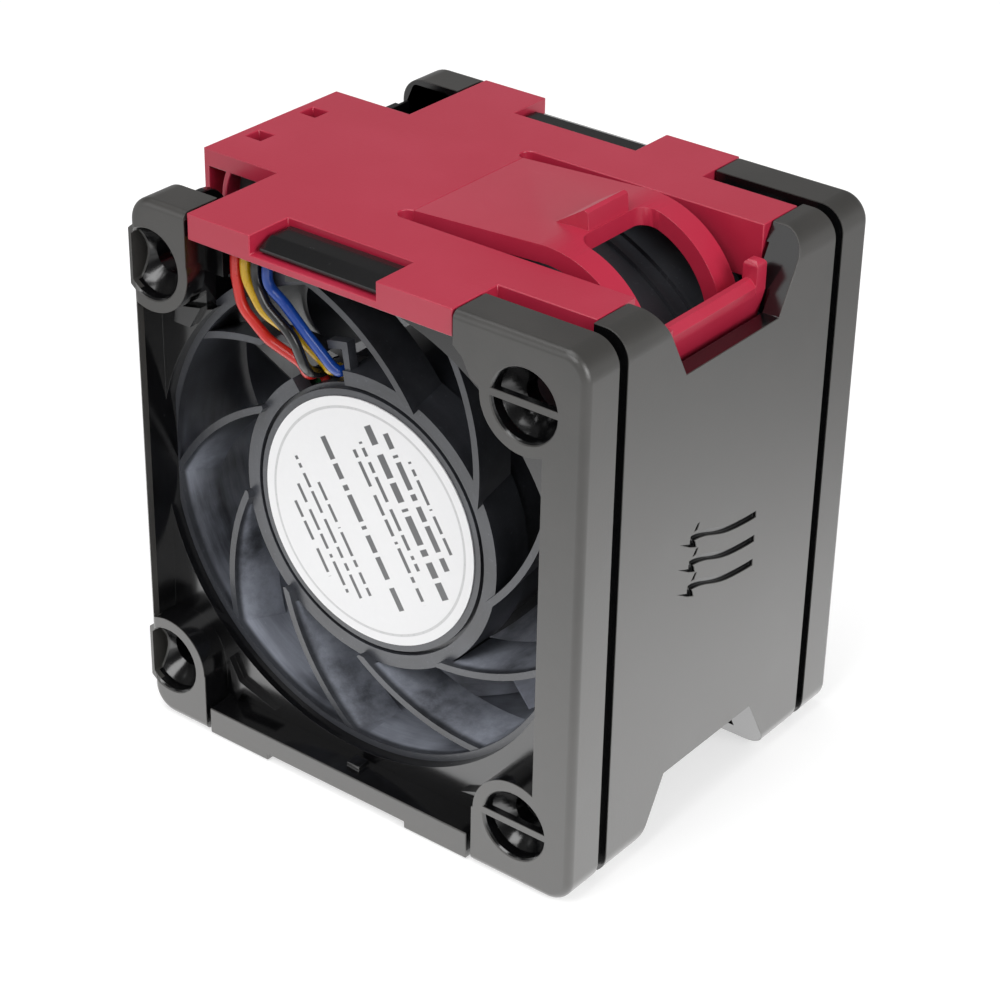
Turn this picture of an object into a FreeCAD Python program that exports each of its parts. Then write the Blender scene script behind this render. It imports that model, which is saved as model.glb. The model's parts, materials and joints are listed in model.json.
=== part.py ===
"""Server fan module: a 60 mm class axial fan in a hot-swap carrier with a press latch.

Frame: millimetres, +Z up, the fan axis runs along Y at height AXIS_Z.  Y = 0 is mid depth,
-Y is the outlet side (stator guard and hub label), +Y the inlet side, +X the latch side.
Origin: on the base plane, straight below the fan axis, at mid depth.
"""
import FreeCAD, Part
import math
import os

V = FreeCAD.Vector

# ---------------------------------------------------------------- driving dimensions
# envelope of the two end flanges
HEIGHT = 64.7             # base plane to top face
DEPTH = 50.5              # outer face to outer face of the flanges
FLANGE_THICK = 5.15       # end flange, along the fan axis
CORNER_ROUND = 3.0        # outline corners of the flanges
EDGE_ROUND = 0.9          # outer face edges of the flanges
GROOVE = 1.5              # shadow groove between a flange and a side cover
CLEAR = 0.3               # gap between neighbouring mouldings
LEFT_CUT = 1.0            # how far the left face cuts into the round barrel
RIGHT_GAP = 3.7           # barrel to right face
FLOOR_GAP = 3.45          # base plane to barrel
PLATE_GAP = 1.65          # barrel to the underside of the top plate

# fan duct
DUCT_WALL = 1.6           # barrel wall
SIDE_SKIN = 0.6           # barrel wall where the left face cuts it flat
TIP_GAP = 0.5             # impeller tip to duct
MOUTH_DEPTH = 3.7         # square mouth in the outlet flange
MOUTH_BAND = 5.1          # right-hand band beside the mouth
MOUTH_STEP = 0.8          # ledge between the barrel's end and the flange's round bore
INLET_DUCT = 10.9         # length of the inlet half of the barrel
RIM_OFFSET = 1.0          # raised rim, from the joint plane
RIM_WIDTH = 0.6
RIM_RISE = 0.5
FLARE_RISE = 2.4          # inlet flare, radial
FLARE_DEPTH = 3.6

# corner holes
HOLE_EDGE = 7.25          # hole centres above the base plane
HOLE_R = 2.2              # screw hole through a flange
HOLE_RIM_R = 4.2          # mouth of the recess
HOLE_POCKET_R = 3.9       # straight part of the recess
HOLE_POCKET = 1.5         # depth of the straight part
HOLE_CONE = 3.4           # depth of the whole recess
HOLE_SKIN = 0.4           # wall left between a recess and the left side
CHEEK = 0.45              # swelling of the left side beside each screw hole
BOSS_WALL = 1.25          # material around the recess mouth

# outlet side hub cup and guide vanes
HUB_R = 17.4              # hub cup outer radius
HUB_FRONT = 6.2           # hub cup face behind the outlet face
HUB_RIM = 1.65            # outer ring width
HUB_GROOVE = 0.45         # groove between outer ring and inner disc
HUB_DISC = 2.0            # hub cup floor thickness
HUB_CUP = 5.4             # hub cup depth
HUB_WALL = 1.0            # hub cup wall
VANES = 9
VANE_THICK = 0.8
VANE_START = 147.0        # degrees, first vane at the hub, counter-clockwise from +X
VANE_SWEEP = 40.0         # degrees from hub to duct
VANE_LEAN = 4.0           # degrees from outlet edge to inlet edge
VANE_DEPTH = 6.2
VANE_EDGE = 0.15          # outlet edge of the vanes behind the duct's end plane
EXIT_FROM, EXIT_TO = 101.5, 127.5     # degrees, lead exit in the hub ring
LEAD_NOTCH = 4.7          # reach beyond the hub of the notch that lets the leads pass a vane
LEAD_NOTCH_DEPTH = 1.85   # notch floor behind the hub face
HOOK_FROM, HOOK_TO = 98.5, 106.5      # degrees, lead retaining hook beside the exit
HOOK_REACH = 3.2          # hook's outer face from the hub
HOOK_THICK = 0.9

# rotor
SHAFT_R = 1.5
FIT_GAP = 0.03            # radial running clearance of the shaft
IMPELLER_R = 16.6         # impeller hub
IMPELLER_WALL = 1.3
IMPELLER_CAP = 3.0        # solid inlet end of the impeller hub
IMPELLER_ROUND = 3.0
ROTOR_GAP = 0.8           # hub cup to impeller, along the axis
ROTOR_SETBACK = 9.5       # impeller behind the inlet face
BLADES = 7
BLADE_THICK = 1.3
BLADE_SPAN = 22.0         # along the axis
BLADE_START = 1.2         # first blade edge behind the impeller's outlet end
YOKE_WALL = 0.8
MAGNET_WALL = 1.4
MAGNET_LENGTH = 15.0
MAGNET_SETBACK = 1.0
AIR_GAP = 0.45            # magnet to stator
BUSH_R = 3.4
BUSH_LENGTH = 5.0
BUSH_COVER = 1.0          # impeller material over the end of the bush

# stator and bearings
BEARING_R = 4.0
BEARING_LENGTH = 3.0
BEARING_SEAT = 2.6        # outlet bearing from the hub floor
BEARING_LIP = 0.5         # inlet bearing below the tube's end
SPRING_THICK = 0.5
TUBE_WALL = 1.4
TUBE_LENGTH = 19.5
POLES = 6
CORE_LENGTH = 8.0
CORE_RING = 1.6           # yoke ring of the laminations
TOOTH_WIDTH = 2.4
SHOE_THICK = 1.2
SHOE_ANGLE = 44.0
COIL_WALL = 1.5
COIL_GAP = 0.15
INSULATOR_THICK = 0.6
BOARD_THICK = 1.0
BOARD_GAP = 1.4           # hub floor to circuit board
PART_HEIGHT = 1.1         # electronic parts on the board
CHIP_SIZE = 5.0
SENSOR_SIZE = 2.2
CAPACITOR_SIZE = 1.6
LABEL_R = 14.5
LABEL_THICK = 0.15

# carrier: wine-coloured top plate with connector nose and latch tongue
PLATE_THICK = 2.0
PLATE_INSET_LEFT = 8.4    # left end of the lips from the left face
PLATE_INSET_RIGHT = 16.6  # right end of the lips from the right face
STRIP_INSET = 4.5         # right end of the two strips from the right face
STRIP_SETBACK = 7.45      # outer edge of the strips from the flange's outer face
PLATE_SETBACK = 0.25      # lips behind the outer faces
LIP_HEIGHT = 2.8
LIP_THICK = 1.8
SEAT_DROP = 3.0           # seat of the carrier below the top face
CLIP_INSET_LEFT = 17.1    # clip cut-outs in the lips, from the left and the right face
CLIP_INSET_RIGHT = 26.3
CLIP_CUT = 6.25           # depth of the clip cut-outs from the flange's outer face
CLIP_DROP = 0.7           # clip top below the plate
NOSE_OVERHANG = 2.4       # nose beyond the left face
NOSE_HALF = 11.05
NOSE_HEIGHT = 7.2
NOSE_WALL = 0.7
NOSE_RIB_R = 7.0          # curved stiffeners inside the nose
WINDOW = 2.3              # square sight windows in the nose
WINDOW_INSET = 2.3        # window centres from the nose's end
WINDOW_Y = 4.5
SLOT_HALF = 11.4          # outer edge of the slots beside the tongue
TONGUE_HALF = 9.3
HINGE_INSET = 34.4        # living hinge line from the right face
TONGUE_SLOPE = 3.49       # degrees, rise of the tongue from its hinge
TONGUE_BEND_R = 12.0
TONGUE_BEND_ANGLE = 80.0
EYE_SETBACK = 2.1         # window in the tongue, from the start of its bend
EYE_HALF = 6.0
EYE_ROUND = 2.0
RIDGE_LENGTH = 4.3
RIDGE_RISE = 2.1
RIDGE_HALF = 3.5
RIDGE_GAP = 0.4           # crest of the ridge to the window
BAR_GAP = 0.4             # latch bar to the side cover
BAR_NECK = 2.95           # outer face of the bar beyond the end of the tongue's bend
BAR_THICK = 1.9
BAR_HEIGHT = 5.4
BAR_SINK = 0.9            # bar below the end of the tongue's bend
NUB_RISE = 2.0
NUB_WIDTH = 1.8
SKIRT_THICK = 1.3
SKIRT_DEPTH = 4.5
SKIRT_LENGTH = 8.0

# side covers and base rail
COVER_WALL = 2.1
COVER_LINING = 1.0
RETURN_THICK = 2.0
RETURN_WIDTH = 4.3        # top return of the side cover
NOTCH_TOP_HALF = 12.9
NOTCH_BOTTOM_HALF = 8.4
NOTCH_DEPTH = 8.2
NOTCH_RIB = 1.3
MARK_DEPTH = 0.45         # recessed airflow arrows on the side cover
MARK_BAND = 0.8
MARK_PITCH = 3.0
MARK_DROP = 0.4           # middle arrow below the fan axis
LEFT_WALL = 1.0
LEFT_WINDOW_HALF = 12.75  # open stretch of the left side, above and below the fan axis
RAIL_INSET_LEFT = 9.0     # rail ends from the left and the right face
RAIL_INSET_RIGHT = 13.8
RAIL_GAP = 0.65
RAIL_NOTCH = 0.8
RAIL_NOTCH_HALF = 10.0
RAIL_NOTCH_DEPTH = 6.0
BARREL_REST = 0.15        # barrel's flat above the rail
KEY_SIZE = 1.8            # small locating key on the rail
KEY_RISE = 0.6

# connector and leads
WIRE_R = 0.6
WIRE_BEND = 4.0
LEAD_SETBACK = 4.35       # plane in which the leads climb past the barrel's end, behind the outlet face
LEAD_DROP = 2.5           # height at which they cross to the connector, below the plate
GATE_LOW, GATE_HIGH = 12.7, 8.7       # lead gate in the outlet flange, below the top face
GATE_RIGHT = 9.0          # right end of the lead gate, left of the fan axis
LEAD_ROUTES = {           # exit angle, exit setback, climbing lane, pin, bends as (x, setback, drop)
    "red": (121.0, 6.65, -16.6, 0, ((-8.9, 6.05, 16.3), (-12.9, 5.05, 14.3), (-15.9, 4.35, 11.1))),
    "black": (115.6, 6.65, -13.7, 2, ((-7.1, 4.55, 15.9), (-8.3, 3.85, 12.0), (-11.7, 3.75, 9.6))),
    "yellow": (110.2, 7.05, -15.2, 1, ((-6.5, 7.05, 15.9), (-8.9, 6.35, 13.8), (-13.1, 4.65, 11.0))),
    "blue": (104.8, 6.65, -12.1, 3, ((-4.9, 6.25, 15.5), (-7.7, 5.05, 11.7), (-10.2, 4.55, 8.8))),
}
PLUG_WIDTH = 4.5          # plug's inner face from the left face
PLUG_HALF = 7.4
PLUG_LENGTH = 12.2
PLUG_GAP = 0.1
PIN_PITCH = 3.0
PIN_POCKET = 1.7
PIN_LENGTH = 5.0
PIN_RECESS = 1.0
PIN_SIZE = 0.64

# ---------------------------------------------------------------- derived planes
PLATE_UNDER = HEIGHT - PLATE_THICK
BARREL_R = (PLATE_UNDER - PLATE_GAP - FLOOR_GAP) / 2
DUCT_R = BARREL_R - DUCT_WALL
MOUTH_BORE_R = DUCT_R + MOUTH_STEP
AXIS_Z = FLOOR_GAP + BARREL_R
LEFT_X = LEFT_CUT - BARREL_R
RIGHT_X = BARREL_R + RIGHT_GAP
HOLE_HALF = AXIS_Z - HOLE_EDGE
HOLES_Z = (HOLE_EDGE, HOLE_EDGE + 2 * HOLE_HALF)
BOSS_R = HOLE_RIM_R + BOSS_WALL
FRONT_Y = -DEPTH / 2
REAR_Y = DEPTH / 2
FRONT_IN = FRONT_Y + FLANGE_THICK
REAR_IN = REAR_Y - FLANGE_THICK
WEB_Y = FRONT_Y + MOUTH_DEPTH
JOINT_Y = REAR_IN - INLET_DUCT
HUB_FACE = FRONT_Y + HUB_FRONT
HUB_FLOOR = HUB_FACE + HUB_DISC
HUB_END = HUB_FACE + HUB_CUP
ROTOR_FRONT = HUB_END + ROTOR_GAP
ROTOR_REAR = REAR_Y - ROTOR_SETBACK
TUBE_R = BEARING_R + TUBE_WALL
YOKE_OUT = IMPELLER_R - IMPELLER_WALL
YOKE_IN = YOKE_OUT - YOKE_WALL
MAGNET_IN = YOKE_IN - MAGNET_WALL
CORE_R = MAGNET_IN - AIR_GAP
MAGNET_FRONT = ROTOR_FRONT + MAGNET_SETBACK
CORE_FRONT = MAGNET_FRONT + (MAGNET_LENGTH - CORE_LENGTH) / 2
BOARD_FRONT = HUB_FLOOR + BOARD_GAP
BEARING_END = HUB_FLOOR + TUBE_LENGTH - BEARING_LIP
SEAT_Z = HEIGHT - SEAT_DROP
PLATE_LEFT = LEFT_X + PLATE_INSET_LEFT
PLATE_SHOULDER = RIGHT_X - PLATE_INSET_RIGHT
PLATE_RIGHT = RIGHT_X - STRIP_INSET
STRIP_EDGE = REAR_Y - STRIP_SETBACK
CLIP_LEFT = LEFT_X + CLIP_INSET_LEFT
CLIP_RIGHT = RIGHT_X - CLIP_INSET_RIGHT
CLIP_EDGE = REAR_Y - CLIP_CUT
NOSE_LEFT = LEFT_X - NOSE_OVERHANG
WINDOW_X = NOSE_LEFT + WINDOW_INSET
ROOT_X = RIGHT_X - HINGE_INSET
RAIL_LEFT = LEFT_X + RAIL_INSET_LEFT
RAIL_RIGHT = RIGHT_X - RAIL_INSET_RIGHT
RAIL_HEIGHT = FLOOR_GAP - BARREL_REST
COVER_IN = RIGHT_X - COVER_WALL
COVER_RETURN_X = RIGHT_X - RETURN_WIDTH
COVER_BASE_X = RAIL_RIGHT + RAIL_GAP
BAR_OUT_X = COVER_IN - BAR_GAP
SLOPE = math.radians(TONGUE_SLOPE)
BEND = math.radians(TONGUE_BEND_ANGLE)
TONGUE_BEND_X = BAR_OUT_X - BAR_NECK - TONGUE_BEND_R * (math.sin(BEND) + math.sin(SLOPE))
TONGUE_TOP = HEIGHT + (TONGUE_BEND_X - ROOT_X) * math.tan(SLOPE)
TONGUE_TIP = TONGUE_TOP - TONGUE_BEND_R * (math.cos(SLOPE) - math.cos(BEND))
BAR_BOTTOM = TONGUE_TIP - BAR_SINK
BAR_TOP = BAR_BOTTOM + BAR_HEIGHT
EYE_LEFT = TONGUE_BEND_X + EYE_SETBACK
PLUG_RIGHT = LEFT_X + PLUG_WIDTH
PLUG_LEFT = NOSE_LEFT + NOSE_WALL + PLUG_GAP
PLUG_BOTTOM = PLATE_UNDER - PLUG_LENGTH
LEAD_FRONT = FRONT_Y + LEAD_SETBACK
LEAD_TOP = PLATE_UNDER - LEAD_DROP
BIG = 200.0


# ---------------------------------------------------------------- helpers
def box(x0, x1, y0, y1, z0, z1):
    return Part.makeBox(x1 - x0, y1 - y0, z1 - z0, V(x0, y0, z0))


def rod(radius, y0, y1, x=0.0, z=AXIS_Z):
    """Cylinder along the fan axis."""
    return Part.makeCylinder(radius, y1 - y0, V(x, y0, z), V(0, 1, 0))


def tube(inner, outer, y0, y1):
    return rod(outer, y0, y1).cut(rod(inner, y0, y1))


def cone(r0, r1, y0, y1, x=0.0, z=AXIS_Z):
    """Cone along Y with radius r0 at y0 and r1 at y1."""
    return Part.makeCone(r0, r1, y1 - y0, V(x, y0, z), V(0, 1, 0))


def prism_y(points, y0, y1):
    """Polygon of (x, z) points, extruded from y0 to y1."""
    loop = [V(x, y0, z) for x, z in points]
    return Part.Face(Part.makePolygon(loop + loop[:1])).extrude(V(0, y1 - y0, 0))


def prism_z(points, z0, z1):
    """Polygon of (x, y) points, extruded from z0 to z1."""
    loop = [V(x, y, z0) for x, y in points]
    return Part.Face(Part.makePolygon(loop + loop[:1])).extrude(V(0, 0, z1 - z0))


def prism_x(points, x0, x1):
    """Polygon of (y, z) points, extruded from x0 to x1."""
    loop = [V(x0, y, z) for y, z in points]
    return Part.Face(Part.makePolygon(loop + loop[:1])).extrude(V(x1 - x0, 0, 0))


def fuse(shapes):
    first, rest = shapes[0], shapes[1:]
    return (first.multiFuse(rest) if rest else first).removeSplitter()


def mirror_y(shape):
    """Mirror across mid depth."""
    return shape.mirror(V(0, 0, 0), V(0, 1, 0))


def turned(shape, degrees):
    """Copy turned about the fan axis, counter-clockwise seen from the outlet."""
    copy = shape.copy()
    copy.rotate(V(0, 0, AXIS_Z), V(0, 1, 0), -degrees)
    return copy


def polar(radius, degrees, y=0.0):
    angle = math.radians(degrees)
    return V(radius * math.cos(angle), y, AXIS_Z + radius * math.sin(angle))


def edges_where(shape, test):
    """Edges whose end points and middle all pass the test."""
    picked = []
    for edge in shape.Edges:
        middle = edge.valueAt((edge.FirstParameter + edge.LastParameter) / 2)
        points = [vertex.Point for vertex in edge.Vertexes] + [middle]
        if all(test(point) for point in points):
            picked.append(edge)
    return picked


def edges_along(shape, axis):
    """Straight edges parallel to an axis."""
    picked = []
    for edge in shape.Edges:
        along = edge.Vertexes[-1].Point - edge.Vertexes[0].Point
        if along.Length > 1e-6 and along.cross(axis).Length < 1e-6:
            picked.append(edge)
    return picked


def near(a, b):
    return abs(a - b) < 1e-4


# ---------------------------------------------------------------- end flanges
def flange_blank():
    """Outlet side flange outline: rounded corners, rounded outer edges, carrier and rail seats."""
    blank = box(LEFT_X, RIGHT_X, FRONT_Y, FRONT_IN, 0, HEIGHT)
    corners = edges_where(blank, lambda p: p.x in (LEFT_X, RIGHT_X) and p.z in (0, HEIGHT))
    blank = blank.makeFillet(CORNER_ROUND, corners)
    blank = blank.makeFillet(EDGE_ROUND, edges_where(blank, lambda p: near(p.y, FRONT_Y)))
    side = box(LEFT_X - CHEEK, BIG, FRONT_Y, FRONT_IN, -BIG, BIG)
    cheeks = [rod(HOLE_RIM_R + HOLE_SKIN, FRONT_Y + CLEAR, FRONT_IN, -HOLE_HALF, z).common(side) for z in HOLES_Z]
    blank = fuse([blank] + cheeks)
    seat = box(PLATE_LEFT - CLEAR, PLATE_SHOULDER + CLEAR, FRONT_Y - 1, FRONT_IN + 1, SEAT_Z, BIG)
    rail = box(RAIL_LEFT - RAIL_GAP, RAIL_RIGHT + RAIL_GAP, FRONT_Y - 1, FRONT_IN + 1, -1, RAIL_HEIGHT)
    return blank.cut(seat).cut(rail)


def corner_blocks():
    """Solid corners that the square mouth leaves standing round the screw holes."""
    low, high = HOLES_Z
    shoulder = PLATE_SHOULDER + CLEAR
    blocks = [rod(BOSS_R, FRONT_Y, FRONT_IN, x, z) for x, z in hole_places()]
    blocks.append(box(LEFT_X, PLATE_LEFT - CLEAR, FRONT_Y, FRONT_IN, high, HEIGHT))
    blocks.append(box(LEFT_X, RAIL_LEFT - RAIL_GAP, FRONT_Y, FRONT_IN, 0, low))
    blocks.append(box(RAIL_RIGHT + RAIL_GAP, RIGHT_X, FRONT_Y, FRONT_IN, 0, low))
    drop = [(shoulder, HEIGHT), (shoulder, high + 3.8), (shoulder + 1.2, high + 2.8),
            (shoulder + 2.2, high + 0.9), (shoulder + 3.8, high), (RIGHT_X, high), (RIGHT_X, HEIGHT)]
    blocks.append(prism_y(drop, FRONT_Y, FRONT_IN))
    return blocks


def clip_bar():
    """Hook along the flange top that holds down the lowered stretch of the carrier's lip."""
    top = HEIGHT - CLIP_DROP
    lip_top = SEAT_Z + LIP_HEIGHT - PLATE_THICK + CLEAR
    profile = [(WEB_Y, SEAT_Z), (FRONT_IN, SEAT_Z), (FRONT_IN, top - 1.2),
               (-CLIP_EDGE - CLEAR, top - 1.2), (-CLIP_EDGE - CLEAR, top),
               (FRONT_Y + 3.0, top), (FRONT_Y + 1.1, top - 0.8), (FRONT_Y + 1.1, lip_top),
               (WEB_Y, lip_top)]
    return prism_x(profile, CLIP_LEFT + 2 * CLEAR, CLIP_RIGHT - 2 * CLEAR)


def hole_places():
    """Centres of the four corner holes, as (x, z)."""
    return [(x, z) for x in (-HOLE_HALF, HOLE_HALF) for z in HOLES_Z]


def screw_holes():
    """Cutters for the four plain corner holes."""
    return [rod(HOLE_R, FRONT_Y - 1, FRONT_IN + 1, x, z) for x, z in hole_places()]


def screw_recesses():
    """Cutters for the dished recesses, which keep a thin skin along the left side."""
    cutters = []
    keep = box(LEFT_X - CHEEK + HOLE_SKIN, BIG, FRONT_Y - 1, FRONT_IN + 1, -BIG, BIG)
    pocket_end = FRONT_Y + HOLE_POCKET
    for x, z in hole_places():
        rim = cone(HOLE_RIM_R, HOLE_POCKET_R, FRONT_Y, FRONT_Y + CLEAR, x, z)
        pocket = rod(HOLE_POCKET_R, FRONT_Y, pocket_end, x, z)
        seat = cone(HOLE_POCKET_R, HOLE_R, pocket_end, FRONT_Y + HOLE_CONE, x, z)
        cutters += [piece.common(keep) for piece in (rim, pocket, seat)]
    return cutters


def gussets():
    """Pointed corner webs on the floor of the mouth, placed from the nearest screw hole."""
    low, high = HOLES_Z
    left = (-HOLE_HALF, low, [(6.7, 1.75), (8.2, -0.95), (13.7, -2.55), (8.6, -2.25), (7.7, -3.85), (7.0, -1.85)])
    right = (HOLE_HALF, low, [(-9.4, -1.35), (-5.6, -0.85), (-5.2, 1.15), (-6.8, -0.35)])
    upper = (-HOLE_HALF, high, [(0.6, -5.65), (4.4, -4.85), (2.7, -7.65), (0.4, -7.65)])
    webs = []
    for x, z, points in (left, right, upper):
        webs.append(prism_y([(x + dx, z + dz) for dx, dz in points], WEB_Y - 0.8, WEB_Y))
    return webs


def outlet_flange():
    low, high = HOLES_Z
    mouth = box(LEFT_X + SIDE_SKIN, RIGHT_X - MOUTH_BAND, FRONT_Y - 1, WEB_Y, RAIL_HEIGHT, SEAT_Z)
    mouth = mouth.cut(fuse(corner_blocks()))
    room = box(LEFT_X + SIDE_SKIN, BIG, WEB_Y - 1, FRONT_IN + 1, 0, BIG)
    bore = rod(MOUTH_BORE_R, WEB_Y - 1, FRONT_IN + 1).common(room)
    gate_left = PLATE_LEFT - 1.0
    leads = prism_y([(gate_left, HEIGHT - GATE_LOW), (-GATE_RIGHT, HEIGHT - GATE_HIGH),
                     (-GATE_RIGHT, SEAT_Z + 1), (gate_left, SEAT_Z + 1)], WEB_Y - 1, FRONT_IN + 1)
    body = flange_blank().cut(mouth).cut(bore).cut(leads)
    body = fuse([body, clip_bar()] + gussets())
    body = body.cut(Part.makeCompound(screw_holes() + screw_recesses()))
    bars = []
    x = HOLE_HALF
    for z in (low, high):
        bars.append(box(x - HOLE_RIM_R - 0.2, x + HOLE_RIM_R + 0.2, FRONT_Y, FRONT_Y + 0.9, z - 0.1, z + 0.7))
    return fuse([body] + bars)


def inlet_flange():
    """Mirror of the outlet outline with a flared inlet in place of the square mouth."""
    room = box(LEFT_X + SIDE_SKIN, BIG, FRONT_Y - 1, FRONT_IN + 1, 0, BIG)
    flare = cone(DUCT_R + FLARE_RISE, DUCT_R, FRONT_Y, FRONT_Y + FLARE_DEPTH)
    flare = flare.fuse(rod(DUCT_R, FRONT_Y, FRONT_IN + 1))
    body = fuse([flange_blank().cut(flare.common(room)), clip_bar()])
    body = body.cut(Part.makeCompound(screw_holes()))
    pocket = rod(HOLE_RIM_R - 0.4, FRONT_IN - 2.0, FRONT_IN + 1, -HOLE_HALF, HOLES_Z[1])
    return mirror_y(body.cut(pocket))


# ---------------------------------------------------------------- duct halves
def barrel(y0, y1, rim_y):
    """Round barrel with a raised rim, cut flat by the left face and by the rail."""
    outer = fuse([rod(BARREL_R, y0, y1), rod(BARREL_R + RIM_RISE, rim_y, rim_y + RIM_WIDTH)])
    outer = outer.common(box(LEFT_X, BIG, y0, y1, FLOOR_GAP, BIG))
    return outer.cut(rod(DUCT_R, y0 - 1, y1 + 1))


def vane_outline(y, turn):
    """Closed outline of one guide vane: two arcs and two short ends."""
    hub, mid, out = HUB_R - 0.5, (HUB_R + DUCT_R) / 2, DUCT_R + 0.6
    bend = VANE_SWEEP * math.log(mid / hub) / math.log(out / hub)
    points = [polar(hub, turn, y), polar(mid, turn + bend, y), polar(out, turn + VANE_SWEEP, y)]
    circle = Part.Arc(*points).toShape().Curve
    centre, radius = circle.Center, circle.Radius
    sides = []
    for offset in (-VANE_THICK / 2, VANE_THICK / 2):
        scale = (radius + offset) / radius
        sides.append([centre + (point - centre) * scale for point in points])
    inner, outer = sides
    return Part.Wire([Part.Arc(*inner).toShape(), Part.LineSegment(inner[2], outer[2]).toShape(),
                      Part.Arc(*outer[::-1]).toShape(), Part.LineSegment(outer[0], inner[0]).toShape()])


def guide_vanes():
    y0 = FRONT_IN + VANE_EDGE
    blanks = []
    for index in range(VANES):
        turn = VANE_START + index * 360.0 / VANES
        wires = [vane_outline(y0, turn), vane_outline(y0 + VANE_DEPTH, turn + VANE_LEAN)]
        blanks.append(Part.makeLoft(wires, True, True))
    return blanks


def sector(start, end, reach, y0, y1):
    """Wedge about the fan axis between two angles, wide enough to cover the given radius."""
    middle, spread = math.radians((start + end) / 2), math.radians((end - start) / 2)
    tip = reach / math.cos(spread)
    wedge = [(0.0, AXIS_Z)]
    for angle in (middle - spread, middle, middle + spread):
        wedge.append((tip * math.cos(angle), AXIS_Z + tip * math.sin(angle)))
    return prism_y(wedge, y0, y1)


def hub_cup():
    """Static hub: floor with ring groove, wall and bearing tube."""
    cup = rod(HUB_R, HUB_FACE, HUB_END).cut(rod(HUB_R - HUB_WALL, HUB_FLOOR, HUB_END + 1))
    groove_out = HUB_R - HUB_RIM
    cup = cup.cut(tube(groove_out - HUB_GROOVE, groove_out, HUB_FACE - 1, HUB_FACE + 0.8))
    neck = tube(BEARING_R, TUBE_R, HUB_FLOOR - 0.5, HUB_FLOOR + TUBE_LENGTH)
    return fuse([cup, neck])


def lead_exit():
    """Room for the leads: a gap in the hub ring and a notch in the vane above it."""
    wedge = sector(EXIT_FROM, EXIT_TO, HUB_R + 2, FRONT_IN - 1, HUB_END)
    gap = wedge.common(tube(HUB_R - HUB_RIM, HUB_R + 1.2, FRONT_IN - 1, HUB_FLOOR + 2 * WIRE_R + 1.0))
    reach = HUB_R + LEAD_NOTCH
    wide = sector(EXIT_FROM, EXIT_TO + 4, reach, FRONT_IN - 1, HUB_FACE + LEAD_NOTCH_DEPTH)
    return gap.fuse(wide.common(tube(HUB_R + 0.01, reach, FRONT_IN - 1, HUB_END)))


def lead_hook():
    """Small hook outside the hub ring that keeps the leads off the neighbouring vane."""
    y0, y1 = HUB_FACE + 0.25, HUB_FACE + 1.5
    reach = HUB_R + HOOK_REACH
    arc = tube(reach - HOOK_THICK, reach, y0, y1).common(sector(HOOK_FROM, HOOK_TO, reach, y0, y1))
    strut = tube(HUB_R - 0.5, reach, y0, y1).common(sector(HOOK_FROM, HOOK_FROM + 2.5, reach, y0, y1))
    return fuse([arc, strut])


def outlet_duct():
    y0, y1 = FRONT_IN, JOINT_Y
    shell = barrel(y0, y1, JOINT_Y - RIM_OFFSET - RIM_WIDTH)
    inside = rod(DUCT_R + DUCT_WALL / 2, y0, y1).common(box(LEFT_X + SIDE_SKIN / 2, BIG, y0, y1, 0, BIG))
    hollow = rod(HUB_R - HUB_WALL / 2, y0 - 1, y1 + 1)
    vanes = [vane.common(inside).cut(hollow) for vane in guide_vanes()]
    return fuse([shell, hub_cup()] + vanes).cut(lead_exit()).fuse(lead_hook()).removeSplitter()


def inlet_duct():
    return barrel(JOINT_Y, REAR_IN, JOINT_Y + RIM_OFFSET)


# ---------------------------------------------------------------- rotor
def blade_section(radius, turn):
    """Closed aerofoil outline wrapped on a cylinder about the fan axis."""
    share = (radius - IMPELLER_R) / (DUCT_R - IMPELLER_R)
    wrap = math.degrees((BLADE_SPAN / math.tan(math.radians(52.0 - 20.0 * share))) / radius)
    span = BLADE_SPAN - 3.0 * share
    start = ROTOR_FRONT + BLADE_START
    thick = BLADE_THICK * (1.0 - 0.35 * share)
    steps = 6
    sides = []
    for sign in (-1, 1):
        points = []
        for step in range(steps + 1):
            t = step / steps
            half = thick * (0.22 + 0.78 * math.sin(math.pi * t)) / 2
            angle = turn + wrap * (t + 0.16 * math.sin(math.pi * t)) + sign * math.degrees(half / radius)
            points.append(polar(radius, angle, start + span * t))
        sides.append(points)
    low, high = sides
    curve_low, curve_high = Part.BSplineCurve(), Part.BSplineCurve()
    curve_low.interpolate(low)
    curve_high.interpolate(high[::-1])
    return Part.Wire([curve_low.toShape(), Part.LineSegment(low[-1], high[-1]).toShape(),
                      curve_high.toShape(), Part.LineSegment(high[0], low[0]).toShape()])


def impeller():
    radii = (IMPELLER_R - IMPELLER_WALL * 0.7, (IMPELLER_R + DUCT_R) / 2, DUCT_R + 0.6)
    blade = Part.makeLoft([blade_section(radius, 0.0) for radius in radii], True, False)
    swept = tube(IMPELLER_R - IMPELLER_WALL / 2, DUCT_R - TIP_GAP, ROTOR_FRONT, ROTOR_REAR)
    blade = blade.common(swept)
    hub = rod(IMPELLER_R, ROTOR_FRONT, ROTOR_REAR)
    hub = hub.makeFillet(IMPELLER_ROUND, edges_where(hub, lambda p: near(p.y, ROTOR_REAR)))
    hub = hub.cut(rod(YOKE_OUT, ROTOR_FRONT - 1, ROTOR_REAR - IMPELLER_CAP))
    hub = hub.cut(rod(BUSH_R, ROTOR_REAR - IMPELLER_CAP - 1, ROTOR_REAR - BUSH_COVER))
    return fuse([hub] + [turned(blade, index * 360.0 / BLADES) for index in range(BLADES)])


def rotor_yoke():
    end = ROTOR_REAR - IMPELLER_CAP
    cup = rod(YOKE_OUT, MAGNET_FRONT - 0.5, end).cut(rod(YOKE_IN, MAGNET_FRONT - 1.5, end - YOKE_WALL))
    return cup.cut(rod(BUSH_R, end - 2, end + 1))


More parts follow.
